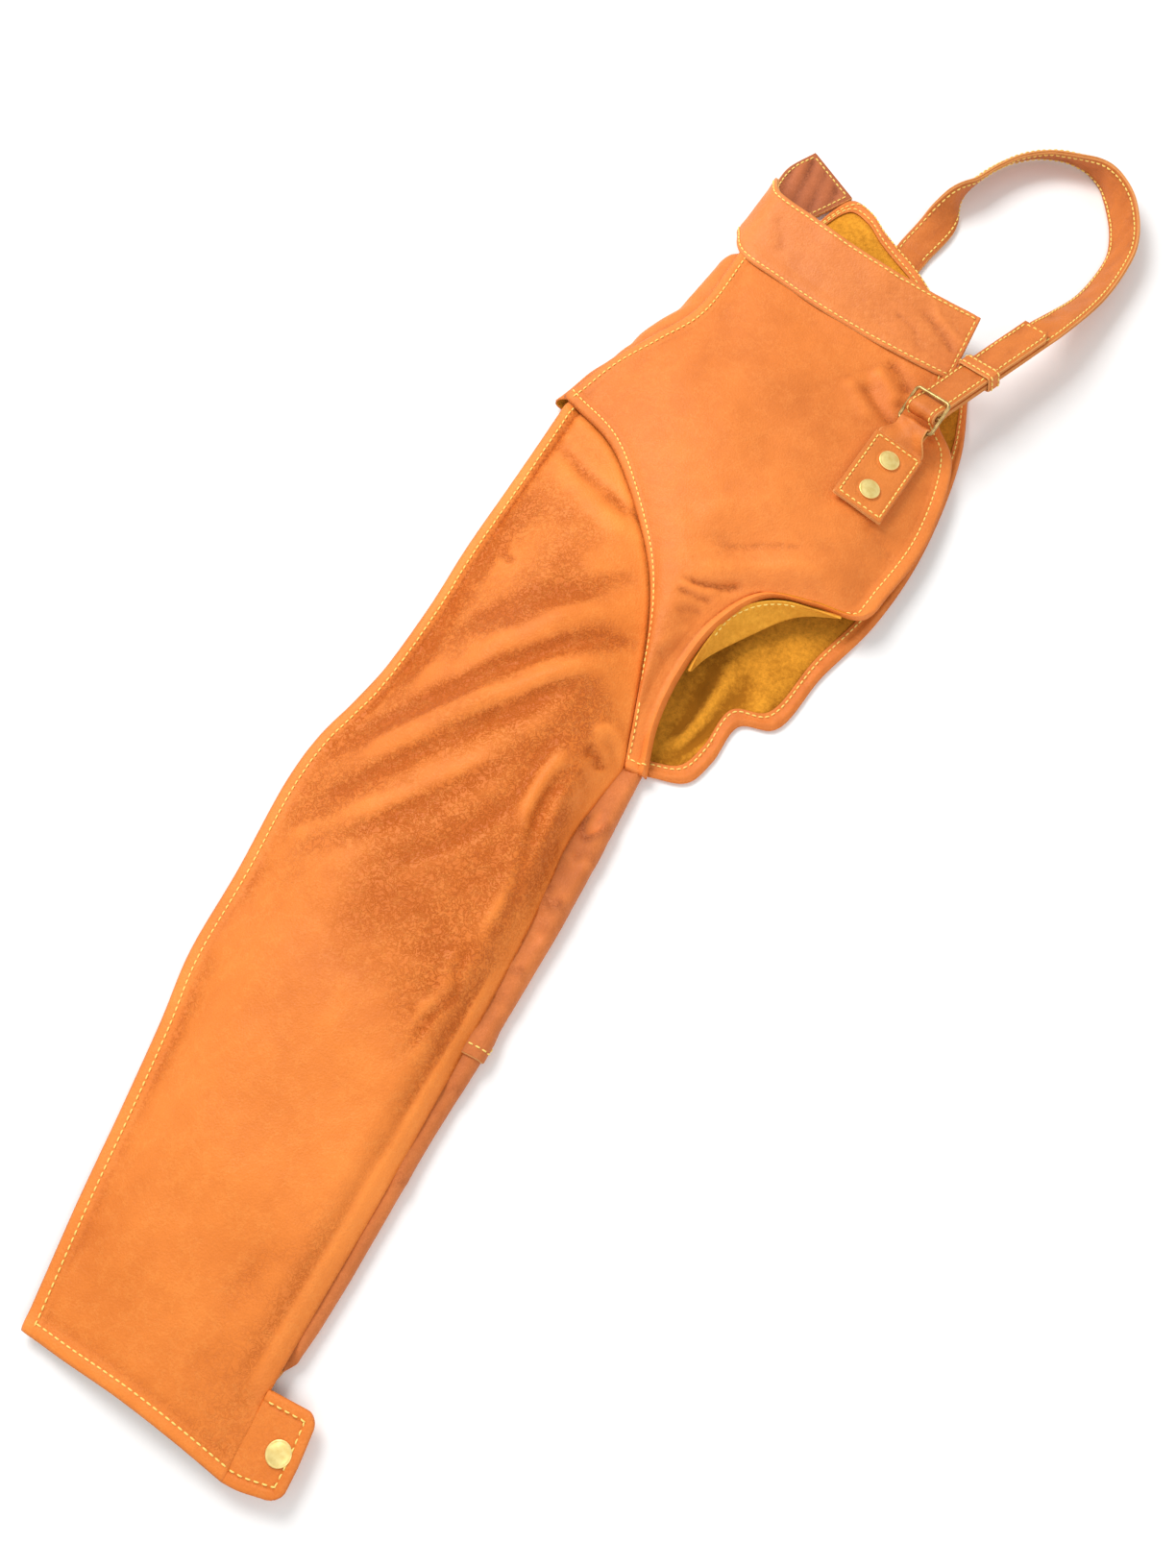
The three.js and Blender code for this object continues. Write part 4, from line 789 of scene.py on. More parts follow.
for r, row in enumerate(flat_part):
    v = r / (ROWS - 1)
    reach = np.linalg.norm(row[:, :2] - strap_anchor[:2], axis=1)
    row[:, 2] += 0.0047 * (1 - smooth(reach, 0.034, 0.090))
    foot = row[0]
    seam = along_line(shoulder_line, np.array([v / 0.86]))[0]
    end_part = smooth(v, 0.84, 0.95)
    top_drop = (0.005 - seam[2]) * end_part - 0.0022 * (1 - end_part)
    top = seam + np.array([-0.0012, end_part * 0.018, top_drop])
    bulge = (0.009 + 0.005 * smooth(v, 0.25, 0.55)) * (1 - end_part) + 0.005 * end_part
    middle_y, middle_z = (top[1] + foot[1]) / 2, (top[2] + foot[2]) / 2
    side = np.array([min(foot[0], top[0]) - bulge, middle_y, middle_z])
    upper = np.array([side[0] + (top[0] - side[0]) * 0.35, top[1] + (foot[1] - top[1]) * 0.25,
                      foot[2] + (top[2] - foot[2]) * 0.88])
    lower = np.array([side[0] + (foot[0] - side[0]) * 0.35, top[1] + (foot[1] - top[1]) * 0.75,
                      foot[2] + max(top[2] - foot[2], 0) * 0.12])
    rows.append(curve([top, upper, side, lower, *row], COLUMNS))
grid = np.array(rows)
from_edge, from_neck = edge_distance(grid, "end"), edge_distance(grid, "far")
floor_part = smooth(np.arange(COLUMNS), 34, 48)[None, :] * smooth(from_edge, 0.006, 0.02)
floor_part = floor_part * smooth(from_neck, 0.006, 0.02)
lift = folds(grid, [
    ([(108, 492), (118, 520), (122, 552), (121, 580)], 0.0030, 0.004, 0.005),
    ([(112, 492), (128, 520), (136, 552), (136, 580)], -0.0020, 0.005, 0.006),
    ([(114, 490), (134, 512), (150, 542), (152, 572)], 0.0022, 0.005, 0.006),
    ([(108, 500), (112, 530), (108, 560)], -0.0020, 0.005, 0.005),
    ([(150, 560), (164, 584), (170, 606)], 0.0012, 0.010, 0.010),
    ([(40, 960), (64, 944), (90, 926)], 0.0010, 0.008, 0.008)])
lift = (lift + np.abs(ripple(grid, 0.050, 41)) * 0.0008) * floor_part
side_part = 1 - smooth(np.arange(COLUMNS), 24, 34)[None, :]
side_folds = folds(grid, [
    ([(-70, 760), (-40, 772), (-10, 796)], -0.0016, 0.006, 0.006),
    ([(-64, 720), (-44, 736), (-20, 752)], 0.0014, 0.006, 0.006),
    ([(-50, 800), (-30, 810), (-8, 832)], -0.0016, 0.005, 0.006)])
n = normals(grid)
grid += n * (lift - (side_folds + ripple(grid, 0.025, 42) * 0.0006) * side_part)[..., None]
# Painted shading on the floor folds, and a painted shadow just inside the outline hem, beside its raised
# edge.
shade_and_tone = painted_fold_shading(lift) * 1.4 - 0.30 * near_line(from_edge, 0.012, 0.010) * floor_part
# Painted shadow under the front panel's rim, inside the underarm opening.
under_rim_shadow_mask = floor_part * (grid[..., 1] < at(0, 640, 0)[1])
shade_and_tone -= 0.30 * near_line(grid[..., 0], at(112, 0, 0)[0], 0.016) * under_rim_shadow_mask
back_suede = leather("back_suede", (0.90, 0.375, 0.034), (0.38, 0.135, 0.010), grain=1.0, suede=True)
piece, back_face, _ = shell("back_panel_leather", grid, LEATHER,
                            [back_suede, panel_leather, panel_leather], shade_and_tone)
lay(piece, nodes=["back_panel"])


HEM_RISE, HEM_OVERHANG = 0.0012, 0.0006


def band(name, edge, width, first, last):
    """A hem: a strip of leather turned over the back panel's edge and laid along it. It returns the
    strip's upper face, and the name of the side of it that lies inward."""
    inward = inset(back_face, edge, 0.003, first, last)
    lines = []
    for d in np.linspace(-HEM_OVERHANG, width, 14):
        line = inset(back_face, edge, max(d, 0.0), first, last)
        height = HEM_RISE * min(1.0, 0.15 + 0.85 * smooth(d, -HEM_OVERHANG, 0.0022))
        height += 0.0010 * near_line(d, 0.0030, 0.0022)
        beyond = unit(line[:, :3] - inward[:, :3]) * max(-d, 0.0)
        lines.append(line[:, :3] + beyond + line[:, 3:6] * height)
    strip = np.stack(lines, 1)
    turned_over = (normals(strip) * inset(back_face, edge, width / 2, first, last)[:, None, 3:6]).sum() < 0
    if turned_over:
        strip = strip[:, ::-1]
    piece, top_face, _ = shell(name, strip, HEM_LEATHER, [panel_leather, panel_leather, panel_leather],
                               ripple(strip, 0.01, 51) * 0.05)
    lay(piece)
    return top_face, "start" if turned_over else "end"


hem_stitches = []
for edge, width, first, last, name in [("end", 0.0115, 0.001, 0.001, "back_outline_hem"),
                                       ("far", 0.0110, 0.030, 0.001, "back_neck_hem")]:
    face, inner = band(name, edge, width, first, last)
    hem_stitches.append(inset(face, inner, 0.0024, 0.003, 0.003))
    if edge == "far":
        hem_stitches.append(inset(face, inner, 0.0078, 0.003, 0.003))
sew("back_hem_stitching", hem_stitches, "garment")


# The collar band: an outer layer and a facing, stitched all round. It follows the front neck, turns
# over the shoulder and ends on the back neck.
collar_leather = leather("collar_leather", (0.86, 0.270, 0.066), (0.46, 0.115, 0.024), gloss=0.46)
collar_lining = leather("collar_lining", (0.52, 0.150, 0.052), (0.20, 0.048, 0.018), gloss=0.5)
COLLAR_WIDTH = 0.050
COLLAR_SEAM = 0.0028
neck_line = curve(NECK, 600)
ways, lows = [], []
for u in np.linspace(1, 0, 6):
    lows.append(along_line(neck_line, np.array([u]))[0] + np.array([0, 0.0006, 0.0004]))
    ways.append([0.1 + (0.02 - 0.1) * u, 0.96, 0.34 + (0.17 - 0.34) * u])
for x, y, z, way in [(0.193, 1.035, 22, (0.12, 0.95, 0.28)), (0.175, 1.06, 14, (0.14, 0.98, 0.1)),
                     (0.195, 1.075, 6.5, (-0.02, 1, 0)), (0.25, 1.105, 3, (-0.32, 0.94, 0)),
                     (0.32, 1.165, 2.8, (-0.65, 0.76, 0)), (0.4, 1.245, 2.8, (-0.83, 0.55, 0))]:
    lows.append(body_at(x, y, z))
    ways.append(list(way))
lows, ways = np.array(lows), unit(np.array(ways, float))
ROWS, COLUMNS = 44, 300
low_line = curve(lows, COLUMNS)
high_line = curve(lows + ways * COLLAR_WIDTH, COLUMNS)
share = np.linspace(1, 0, ROWS)[:, None, None]
middle = low_line[None] * (1 - share) + high_line[None] * share
n = normals(middle)
from_low, from_high = edge_distance(middle, "far"), edge_distance(middle, "near")
from_right, from_back = edge_distance(middle, "start"), edge_distance(middle, "end")
front_part = 1 - smooth(np.linspace(0, 1, COLUMNS), 0.60, 0.70)[None, :]
lift = front_part * folds(middle, [
    ([(128, 872), (150, 862), (172, 848)], -0.0010, 0.004, 0.004),
    ([(134, 880), (156, 866), (176, 858)], 0.0008, 0.003, 0.004),
    ([(110, 862), (130, 856), (150, 840)], -0.0008, 0.004, 0.005),
    ([(20, 912), (44, 902), (70, 880)], 0.0008, 0.008, 0.008),
    ([(4, 900), (16, 886), (22, 870)], -0.0010, 0.006, 0.006),
    ([(60, 892), (84, 888), (112, 870)], 0.0006, 0.008, 0.008)])
wrinkled = smooth(np.linspace(1, 0, COLUMNS), 0.55, 0.85)[None, :]
lift += ripple(middle * np.array([1, 2.2, 1]), 0.006, 61) * 0.00016 * wrinkled
lift += ripple(middle, 0.03, 62) * 0.0004
for d in (from_low, from_high, from_right, from_back):
    lift -= 0.00045 * near_line(d, COLLAR_SEAM, 0.0011) + 0.0004 * np.clip(1 - d / 0.0012, 0, 1) ** 2
outer_grid = middle + n * (LAYER_PITCH / 2 + lift)[..., None]
outer_grid += n * (0.0016 * (1 - smooth(from_low, 0.004, 0.012)) * front_part)[..., None]
overlap = 0.0030 * (1 - smooth(from_low, 0.002, 0.016)) * front_part
outer_grid -= unit(middle[:1] - middle[-1:]) * overlap[..., None]
# Painted shading on the collar's folds and in the grooves of its seam lines.
piece, collar_face, _ = shell("collar_outer_leather", outer_grid, LEATHER, [collar_leather, suede, cut_edge],
                              painted_fold_shading(lift) * 1.5)
lay(piece, nodes=["collar_outer"])
slanted = middle @ np.array([[0.7, 0.7, 0], [-0.35, 0.35, 0], [0, 0, 1.0]])
facing_lift = ripple(slanted, 0.012, 63) * 0.0007
for d in (from_low, from_high, from_right, from_back):
    facing_lift *= smooth(d, 0.001, 0.006)
facing_grid = middle - n * (LAYER_PITCH / 2 + facing_lift)[..., None]
# Painted shading on the facing's ripples.
piece, _, facing_face = shell("collar_facing_leather", facing_grid, LEATHER, [suede, collar_lining, cut_edge],
                              painted_fold_shading(facing_lift) * 2.2)
lay(piece, nodes=["collar_facing"])
collar_lines = []
for face in (collar_face, facing_face):
    for edge, short in [("near", 0.003), ("far", 0.003), ("start", 0.004), ("end", 0.004)]:
        collar_lines.append(inset(face, edge, COLLAR_SEAM, short, short))
sew("collar_stitching", collar_lines, "garment")


# The strap: two layers that run from the tail round the slide's middle bar, up into a loop that
# stands on its edge, and down under the back neck, where it is sewn on.
strap_leather = leather("strap_leather", (0.74, 0.220, 0.042), (0.36, 0.080, 0.015), gloss=0.45)
strap_edge = leather("strap_edge", (0.82, 0.36, 0.11), (0.58, 0.22, 0.06), grain=0.6, gloss=0.7)
middle_bar = np.array(joints["slide_swing"]["pos_m"])
lower_bar = np.array(joints["tab_swing"]["pos_m"])
strap_across = -np.array(joints["slide_swing"]["axis"], float)
strap_way = unit(np.array(joints["keeper_slide"]["axis"], float))
strap_normal = np.cross(strap_across, strap_way)
STRAP_WIDTH = 0.025
STRAP_TAIL = 0.112
SEWN_LENGTH, ROOT_LENGTH = 0.040, 0.074
STRAP_SEAM = 0.0025
TAIL_HEIGHT = 0.00235
WIRE = 0.0026
WIRE_PLAY = 0.0005
SIDE_PLAY = 0.0015
STRAP_HALF = LAYER_PITCH / 2 + HALF
wrap_radius = WIRE / 2 + WIRE_PLAY + STRAP_HALF


def on_strap(way, height):
    return middle_bar + strap_way * way + strap_normal * height


def swell(share):
    """The tail's height where it widens from its two flat runs to the turn round the bar."""
    return TAIL_HEIGHT + (wrap_radius - TAIL_HEIGHT) * share


centres = [on_strap(x, TAIL_HEIGHT) for x in np.linspace(STRAP_TAIL, 0.012, 12)]
centres += [on_strap(0.008, swell(0.35)), on_strap(0.004, swell(0.8))]
for a in np.linspace(0, math.pi, 13):
    centres.append(on_strap(-wrap_radius * math.sin(a), wrap_radius * math.cos(a)))
centres += [on_strap(0.004, -swell(0.8)), on_strap(0.008, -swell(0.35))]
centres += [on_strap(x, -TAIL_HEIGHT) for x in np.linspace(0.012, STRAP_TAIL + 0.004, 12)]
LOOP = [(1.117, 1.2, 38, 6), (1.141, 1.283, 46, 1.5), (1.144, 1.335, 50, 0.6), (1.125, 1.385, 54, 0.6),
        (1.082, 1.44, 62, 0.6), (1.016, 1.484, 90, 0.6), (0.936, 1.499, 118, 0.6), (0.845, 1.488, 124, 0.6),
        (0.768, 1.45, 123, 0.6), (0.718, 1.4, 120, 0.6), (0.686, 1.345, 108, 0.6), (0.667, 1.3, 66, 0.6),
        (0.653, 1.25, 16, 0.5)]
DEGREE = 1e-5
places = [np.append(on_strap(STRAP_TAIL + 0.004, -TAIL_HEIGHT), 18 * DEGREE),
          np.append(on_strap(STRAP_TAIL + 0.008, -TAIL_HEIGHT), 18 * DEGREE)]
for x, y, raised, gap in LOOP:
    angle = math.radians(raised)
    height = (STRAP_WIDTH / 2 * math.sin(angle) + STRAP_HALF * abs(math.cos(angle))) / MM + gap
    places.append(np.append(body_at(x, y, height), raised * DEGREE))
places.append(np.append(strap_anchor + np.array([0, 0.0006, 0.0005]), 0))
loop = curve(places, 500)
tangent = unit(np.gradient(loop[:, :3], axis=0))
level = unit(np.cross(tangent, np.array([0, 0, 1.0])))
raised = np.radians(loop[:, 3:4] / DEGREE)
loop_across = level * np.cos(raised) + np.cross(level, tangent) * np.sin(raised)
straight = resample(np.hstack([np.array(centres), np.tile(strap_across, (len(centres), 1))]), 330)
straight[:, 3:] = strap_across
sewn_ways = np.linspace(-0.0006, -SEWN_LENGTH, 30)
sewn = np.array([strap_anchor + np.array([way * 0.2, way, 0.0003]) for way in sewn_ways])
sewn_across = np.tile(unit(np.array([-1, 0.2, 0])), (len(sewn), 1))
whole = np.vstack([straight, np.hstack([loop[3:, :3], loop_across[3:]]), np.hstack([sewn, sewn_across])])
whole = resample(whole, 860)
whole[:, 3:] = unit(whole[:, 3:])
steps = np.linalg.norm(np.diff(whole[:, :3], axis=0), axis=1)
run = np.concatenate([[0], np.cumsum(steps)])
cut_at = int(np.searchsorted(run, run[-1] - SEWN_LENGTH - ROOT_LENGTH))
worn_part = smooth(run, run[-1] - 0.36, run[-1] - 0.20) * (1 - smooth(run, run[-1] - 0.13, run[-1] - 0.09))
strap_stitches = {"strap": [], "root": []}
for layer, side in [("outer", 1), ("lining", -1)]:
    for part, piece_rows in [("strap", slice(0, cut_at + 1)), ("root", slice(cut_at, None))]:
        centre_line, across = whole[piece_rows, :3], whole[piece_rows, 3:]
        n = unit(np.cross(across, np.gradient(centre_line, axis=0)))
        width = np.linspace(-1, 1, 17)
        crown = (-0.00035 * np.abs(width) ** 6 - 0.00030 * near_line(np.abs(width), 0.80, 0.06)) * side
        grid = centre_line[:, None] + across[:, None] * (width * STRAP_WIDTH / 2)[None, :, None]
        wave = ripple(grid, 0.016, 71) * 0.00035 * side * (1 - np.abs(width) ** 4)
        fine = ripple(grid, 0.007, 72) * 0.00022 * worn_part[piece_rows, None] * (1 - np.abs(width) ** 4)
        wave = wave + fine * (1 if side < 0 else 0.3)
        grid = grid + n[:, None] * (side * LAYER_PITCH / 2 + crown + wave)[..., None]
        if part == "strap":
            from_tip = run[piece_rows][:, None] + 0 * width
            clip = np.clip(0.007 - from_tip, 0, 0.007) / 0.007
            shift = np.maximum(width - (1 - 0.42 * clip), 0) * STRAP_WIDTH / 2
            grid -= across[:, None] * shift[..., None]
        # Painted shading on the strap's waves, and painted shade in the grooves of its stitch lines.
        shade_and_tone = painted_fold_shading(wave * side) * 2.0 - 0.12 * near_line(np.abs(width), 0.80, 0.08)
        materials = [strap_leather, suede, strap_edge] if side > 0 else [suede, strap_leather, strap_edge]
        piece, top_face, bottom_face = shell(f"{part}_{layer}_leather", grid, LEATHER, materials, shade_and_tone)
        seen = top_face if side > 0 else bottom_face
        ends = (0.003, 0.0) if part == "strap" else (0.0, 0.036)
        strap_stitches[part] += [inset(seen, edge, STRAP_SEAM, *ends) for edge in ("start", "end")]
        if part == "strap":
            strap_stitches[part].append(inset(seen, "near", 0.0030, 0.003, 0.003))
            lay(piece, ["strap_" + layer], "strap")
        else:
            lay(piece, ["strap_sewn_end_" + layer], None)
            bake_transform(piece)
sew("strap_stitching", strap_stitches["strap"], "strap")
root_stitching = sew("strap_root_stitching", strap_stitches["root"], None)
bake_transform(root_stitching)


# The keeper: a leather loop round both runs of the strap, with a row of stitches along each edge.
KEEPER_PLACE, KEEPER_WIDTH, KEEPER_COLUMNS = 0.053, 0.010, 15
half_x, half_y, corner = STRAP_WIDTH / 2 + SIDE_PLAY, TAIL_HEIGHT + STRAP_HALF + 0.0013, 0.0016
ring = []
for sx, sy, start in [(1, -1, -90), (1, 1, 0), (-1, 1, 90), (-1, -1, 180)]:
    for a in np.radians(np.linspace(start, start + 90, 7)):
        ring.append((sx * (half_x - corner) + corner * math.cos(a),
                     sy * (half_y - corner) + corner * math.sin(a)))
ring = np.array([(0.0, -half_y), *ring, (0.0, -half_y)])
ring = resample(np.hstack([ring, np.zeros((len(ring), 1))]), 130)
keeper_middle = on_strap(KEEPER_PLACE, 0.0)
steps = np.linspace(-KEEPER_WIDTH / 2, KEEPER_WIDTH / 2, KEEPER_COLUMNS)
bulge = 0.0004 * np.cos(np.linspace(-1, 1, KEEPER_COLUMNS) * math.pi / 2)
rows = []
for x, y, _ in ring:
    on_flat_side = abs(abs(y) - half_y) < 1e-6
    out = strap_normal * np.sign(y) if on_flat_side else strap_across * np.sign(x)
    place = keeper_middle + strap_across * x + strap_normal * y
    rows.append([place + out * b + strap_way * w for w, b in zip(steps, bulge)])
grid = np.array(rows)
if (normals(grid) * (grid - keeper_middle)).sum() < 0:
    grid = grid[:, ::-1]
keeper_leather = leather("keeper_leather", (0.80, 0.245, 0.055), (0.44, 0.110, 0.022))
piece, keeper_face, _ = shell("keeper_leather_loop", grid, LEATHER, [keeper_leather, suede, strap_edge])
lay(piece, ["strap_keeper"], "keeper")
keeper_lines = [inset(keeper_face, edge, 0.0020, 0.001, 0.001) for edge in ("start", "end")]
sew("keeper_stitching", keeper_lines, "keeper")


# The snap tab: a stitched patch of two layers on the front panel, placed by the frame's own patch
# and caps. Its leather neck narrows to the strap's width and wraps the slide's lower bar.
PATCH_HALF_WIDTH, PATCH_HALF_LENGTH = 0.019, 0.031
SNAP_PLACE = 0.0145
PATCH_SEAM = 0.0030
patch_mesh = frame["nodes"]["tab_patch_base"].data
patch_points = np.array([point.co for point in patch_mesh.vertices])
patch_side = max(patch_mesh.polygons, key=lambda side: side.area)
patch_z = np.array(patch_side.normal) * np.sign(patch_side.normal.z)
patch_y = unit(np.array(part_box("upper_snap_cap")).mean(0) - np.array(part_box("lower_snap_cap")).mean(0))
patch_x = unit(np.cross(patch_y, patch_z))
patch_axes = np.array([patch_x, patch_y, patch_z])
low, high = (patch_points @ patch_axes.T).min(0), (patch_points @ patch_axes.T).max(0)
patch_at = np.array([(low[0] + high[0]) / 2, (low[1] + high[1]) / 2, low[2]]) @ patch_axes


def on_patch(x, y, z):
    return patch_at + patch_x * x + patch_y * y + patch_z * z


for name, layer in [("tab_patch_top", 1), ("tab_patch_base", 0)]:
    gx, gy = np.meshgrid(np.linspace(-PATCH_HALF_WIDTH, PATCH_HALF_WIDTH, 60),
                         np.linspace(-PATCH_HALF_LENGTH, PATCH_HALF_LENGTH, 96))
    d = np.minimum(PATCH_HALF_WIDTH - np.abs(gx), PATCH_HALF_LENGTH - np.abs(gy))
    rise = -0.0005 * near_line(d, PATCH_SEAM, 0.0011) - 0.0006 * np.clip(1 - d / 0.0014, 0, 1) ** 2
    for cap_place in (SNAP_PLACE, -SNAP_PLACE):
        rise -= 0.0004 * near_line(np.hypot(gx, gy - cap_place), 0.0088, 0.0012)
    grid = patch_at + gx[..., None] * patch_x + gy[..., None] * patch_y
    grid = grid + (HALF + layer * (LAYER_PITCH + rise))[..., None] * patch_z
    grid += patch_z * (ripple(grid, 0.02, 81) * 0.00020)[..., None]
    piece, patch_face, _ = shell(name + "_leather", grid, LEATHER, [strap_leather, suede, strap_edge],
                                 0.22 + ripple(grid, 0.03, 82) * 0.08 - 0.18 * np.exp(-((d / 0.0008) ** 2)))
    lay(piece, [name], "snap_tab")
    if layer:
        patch_lines = [inset(patch_face, edge, PATCH_SEAM, 0.003, 0.003)
                       for edge in ("near", "far", "start", "end")]
        sew("patch_stitching", patch_lines, "snap_tab")
bar_radius = WIRE / 2 + WIRE_PLAY + HALF
NECK_HALF_ROOT, NECK_HALF_BAR = 0.0176, 0.0122


def neck_run(layer, sign):
    for share in np.linspace(0, 1, 24):
        turn_share = smooth(share, 0, 0.8)
        start = on_patch(0, PATCH_HALF_LENGTH + 0.0006, HALF + layer * LAYER_PITCH)
        end = lower_bar + strap_normal * sign * bar_radius
        across = unit(patch_x * (1 - turn_share) + strap_across * turn_share)
        half_width = NECK_HALF_ROOT + (NECK_HALF_BAR - NECK_HALF_ROOT) * smooth(share, 0, 0.7)
        yield np.concatenate([start + (end - start) * share, across, [half_width]])


stations = list(neck_run(1, 1))
for a in np.linspace(0.2, math.pi - 0.2, 12):
    round_bar = strap_normal * math.cos(a) + strap_way * math.sin(a)
    stations.append(np.concatenate([lower_bar + round_bar * bar_radius, strap_across, [NECK_HALF_BAR]]))
stations += list(neck_run(0, -1))[::-1]
stations = resample(np.array(stations), 110)
width = np.linspace(-1, 1, 24)
grid = stations[:, None, :3] + stations[:, None, 3:6] * (stations[:, 6:7] * width)[..., None]
grid += normals(grid) * ((ripple(grid, 0.012, 83) * 0.0005) * (1 - np.abs(width) ** 4))[..., None]
piece, _, _ = shell("tab_neck_leather", grid, LEATHER, [strap_leather, suede, strap_edge],
                    0.1 + ripple(grid, 0.01, 84) * 0.15)
lay(piece, ["tab_neck"], "snap_tab")


# The metal parts: the slide, a rounded frame of bent wire with a straight middle bar, and the
# domed caps of the snaps. The snaps' studs, posts and sockets are the frame's own nodes.
def metal(name, colour, dark, rough):
    material = bpy.data.materials.new(name)
    material.use_nodes = True
    nodes, links = material.node_tree.nodes, material.node_tree.links
    shader = nodes["Principled BSDF"]
    shader.inputs["Metallic"].default_value = 0.72
    shader.inputs["Roughness"].default_value = rough
    place = nodes.new("ShaderNodeTexCoord")
    stain = nodes.new("ShaderNodeTexNoise")
    stain.inputs["Scale"].default_value = 260.0
    stain.inputs["Detail"].default_value = 5.0
    ramp = nodes.new("ShaderNodeValToRGB")
    ramp.color_ramp.elements[0].position = 0.30
    ramp.color_ramp.elements[0].color = (*dark, 1)
    ramp.color_ramp.elements[1].position = 0.62
    ramp.color_ramp.elements[1].color = (*colour, 1)
    scratch = nodes.new("ShaderNodeTexNoise")
    scratch.inputs["Scale"].default_value = 1800.0
    bump = nodes.new("ShaderNodeBump")
    bump.inputs["Strength"].default_value = 0.25
    bump.inputs["Distance"].default_value = 0.00008
    links.new(place.outputs["Object"], stain.inputs["Vector"])
    links.new(stain.outputs["Fac"], ramp.inputs["Fac"])
    links.new(ramp.outputs["Color"], shader.inputs["Base Color"])
    links.new(place.outputs["Object"], scratch.inputs["Vector"])
    links.new(scratch.outputs["Fac"], bump.inputs["Height"])
    links.new(bump.outputs["Normal"], shader.inputs["Normal"])
    return material


brass = metal("satin_brass", (0.98, 0.80, 0.32), (0.84, 0.62, 0.20), 0.46)
wire_brass = metal("antique_brass", (0.60, 0.41, 0.15), (0.26, 0.16, 0.05), 0.34)
for snap in ("upper_snap", "lower_snap", "cuff_snap"):
    for part in ("stud", "post", "socket"):
        snap_part = frame["nodes"][f"{snap}_{part}"]
        snap_part.data.materials.clear()
        snap_part.data.materials.append(brass)


def placed(x_axis, y_axis, z_axis, origin):
    turn = Matrix((Vector(x_axis), Vector(y_axis), Vector(z_axis))).transposed().to_4x4()
    return Matrix.Translation(Vector(origin)) @ turn


def finish_piece(piece, place, material, body, nodes, angle=40):
    piece.matrix_world = place @ piece.matrix_world
    bpy.ops.object.select_all(action="DESELECT")
    piece.select_set(True)
    bpy.context.view_layer.objects.active = piece
    bpy.ops.object.transform_apply(location=True, rotation=True, scale=True)
    bpy.ops.object.shade_smooth_by_angle(angle=math.radians(angle))
    piece.data.materials.clear()
    piece.data.materials.append(material)
    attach(piece, body)
    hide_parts(*nodes)


slide_way = Vector(middle_bar - lower_bar).normalized()
slide_across = Vector(strap_across)
slide_up = slide_across.cross(slide_way)
slide_place = placed(slide_across, slide_way, slide_up, middle_bar)
half_across = STRAP_WIDTH / 2 + SIDE_PLAY + WIRE / 2
SLIDE_HEIGHT, SLIDE_CORNER = 0.024, 0.0030
bpy.ops.object.select_all(action="DESELECT")
bpy.ops.mesh.primitive_plane_add(size=1)
slide = bpy.context.object
slide.name = "wire_slide_frame"
slide.scale = (2 * half_across, SLIDE_HEIGHT, 1)
bpy.ops.object.transform_apply(location=False, rotation=False, scale=True)
bpy.ops.object.mode_set(mode="EDIT")
bpy.ops.mesh.select_all(action="SELECT")
bpy.ops.mesh.delete(type="ONLY_FACE")
bpy.ops.mesh.select_all(action="SELECT")
bpy.ops.mesh.bevel(offset=SLIDE_CORNER, offset_pct=0, segments=8, affect="VERTICES")
bpy.ops.object.mode_set(mode="OBJECT")
bpy.ops.object.convert(target="CURVE")
slide.data.bevel_depth = WIRE / 2
slide.data.bevel_resolution = 5
bpy.ops.object.convert(target="MESH")
bpy.ops.mesh.primitive_cylinder_add(vertices=20, radius=WIRE / 2, depth=2 * half_across,
                                    rotation=(0, math.pi / 2, 0))
bar = bpy.context.object
bpy.ops.object.select_all(action="DESELECT")
bar.select_set(True)
slide.select_set(True)
bpy.context.view_layer.objects.active = slide
bpy.ops.object.join()
finish_piece(slide, slide_place, wire_brass, "slide", ["wire_slide"])

CAP_PROFILE = [(0.0013, 0.0001), (0.0013, 0.0040), (0.0068, 0.0040), (0.0074, 0.0042), (0.0075, 0.0045),
               (0.0074, 0.0048), (0.0070, 0.0050), (0.0064, 0.00495), (0.0060, 0.0050), (0.0050, 0.0053),
               (0.0030, 0.0055), (0.0010, 0.0056)]


def cap(name, place, body, node):
    bpy.ops.object.select_all(action="DESELECT")
    radius, height = CAP_PROFILE[0]
    bpy.ops.mesh.primitive_circle_add(vertices=56, radius=radius, fill_type="NGON", location=(0, 0, height))
    piece = bpy.context.object
    piece.name = name
    bpy.ops.object.transform_apply(location=True, rotation=False, scale=False)
    bpy.ops.object.mode_set(mode="EDIT")
    bpy.ops.mesh.select_all(action="SELECT")
    for wide, high in CAP_PROFILE[1:]:
        bpy.ops.mesh.extrude_region_move(TRANSFORM_OT_translate={"value": (0, 0, high - height)})
        bpy.ops.transform.resize(value=(wide / radius, wide / radius, 1), center_override=(0, 0, high))
        radius, height = wide, high
    bpy.ops.mesh.select_all(action="SELECT")
    bpy.ops.mesh.normals_make_consistent(inside=False)
    bpy.ops.object.mode_set(mode="OBJECT")
    finish_piece(piece, place, brass, body, [node], 30)


for name, y in [("upper_snap_cap", SNAP_PLACE), ("lower_snap_cap", -SNAP_PLACE)]:
    cap(name + "_dome", placed(patch_x, patch_y, patch_z, on_patch(0, y, 0)), "snap_tab", name)


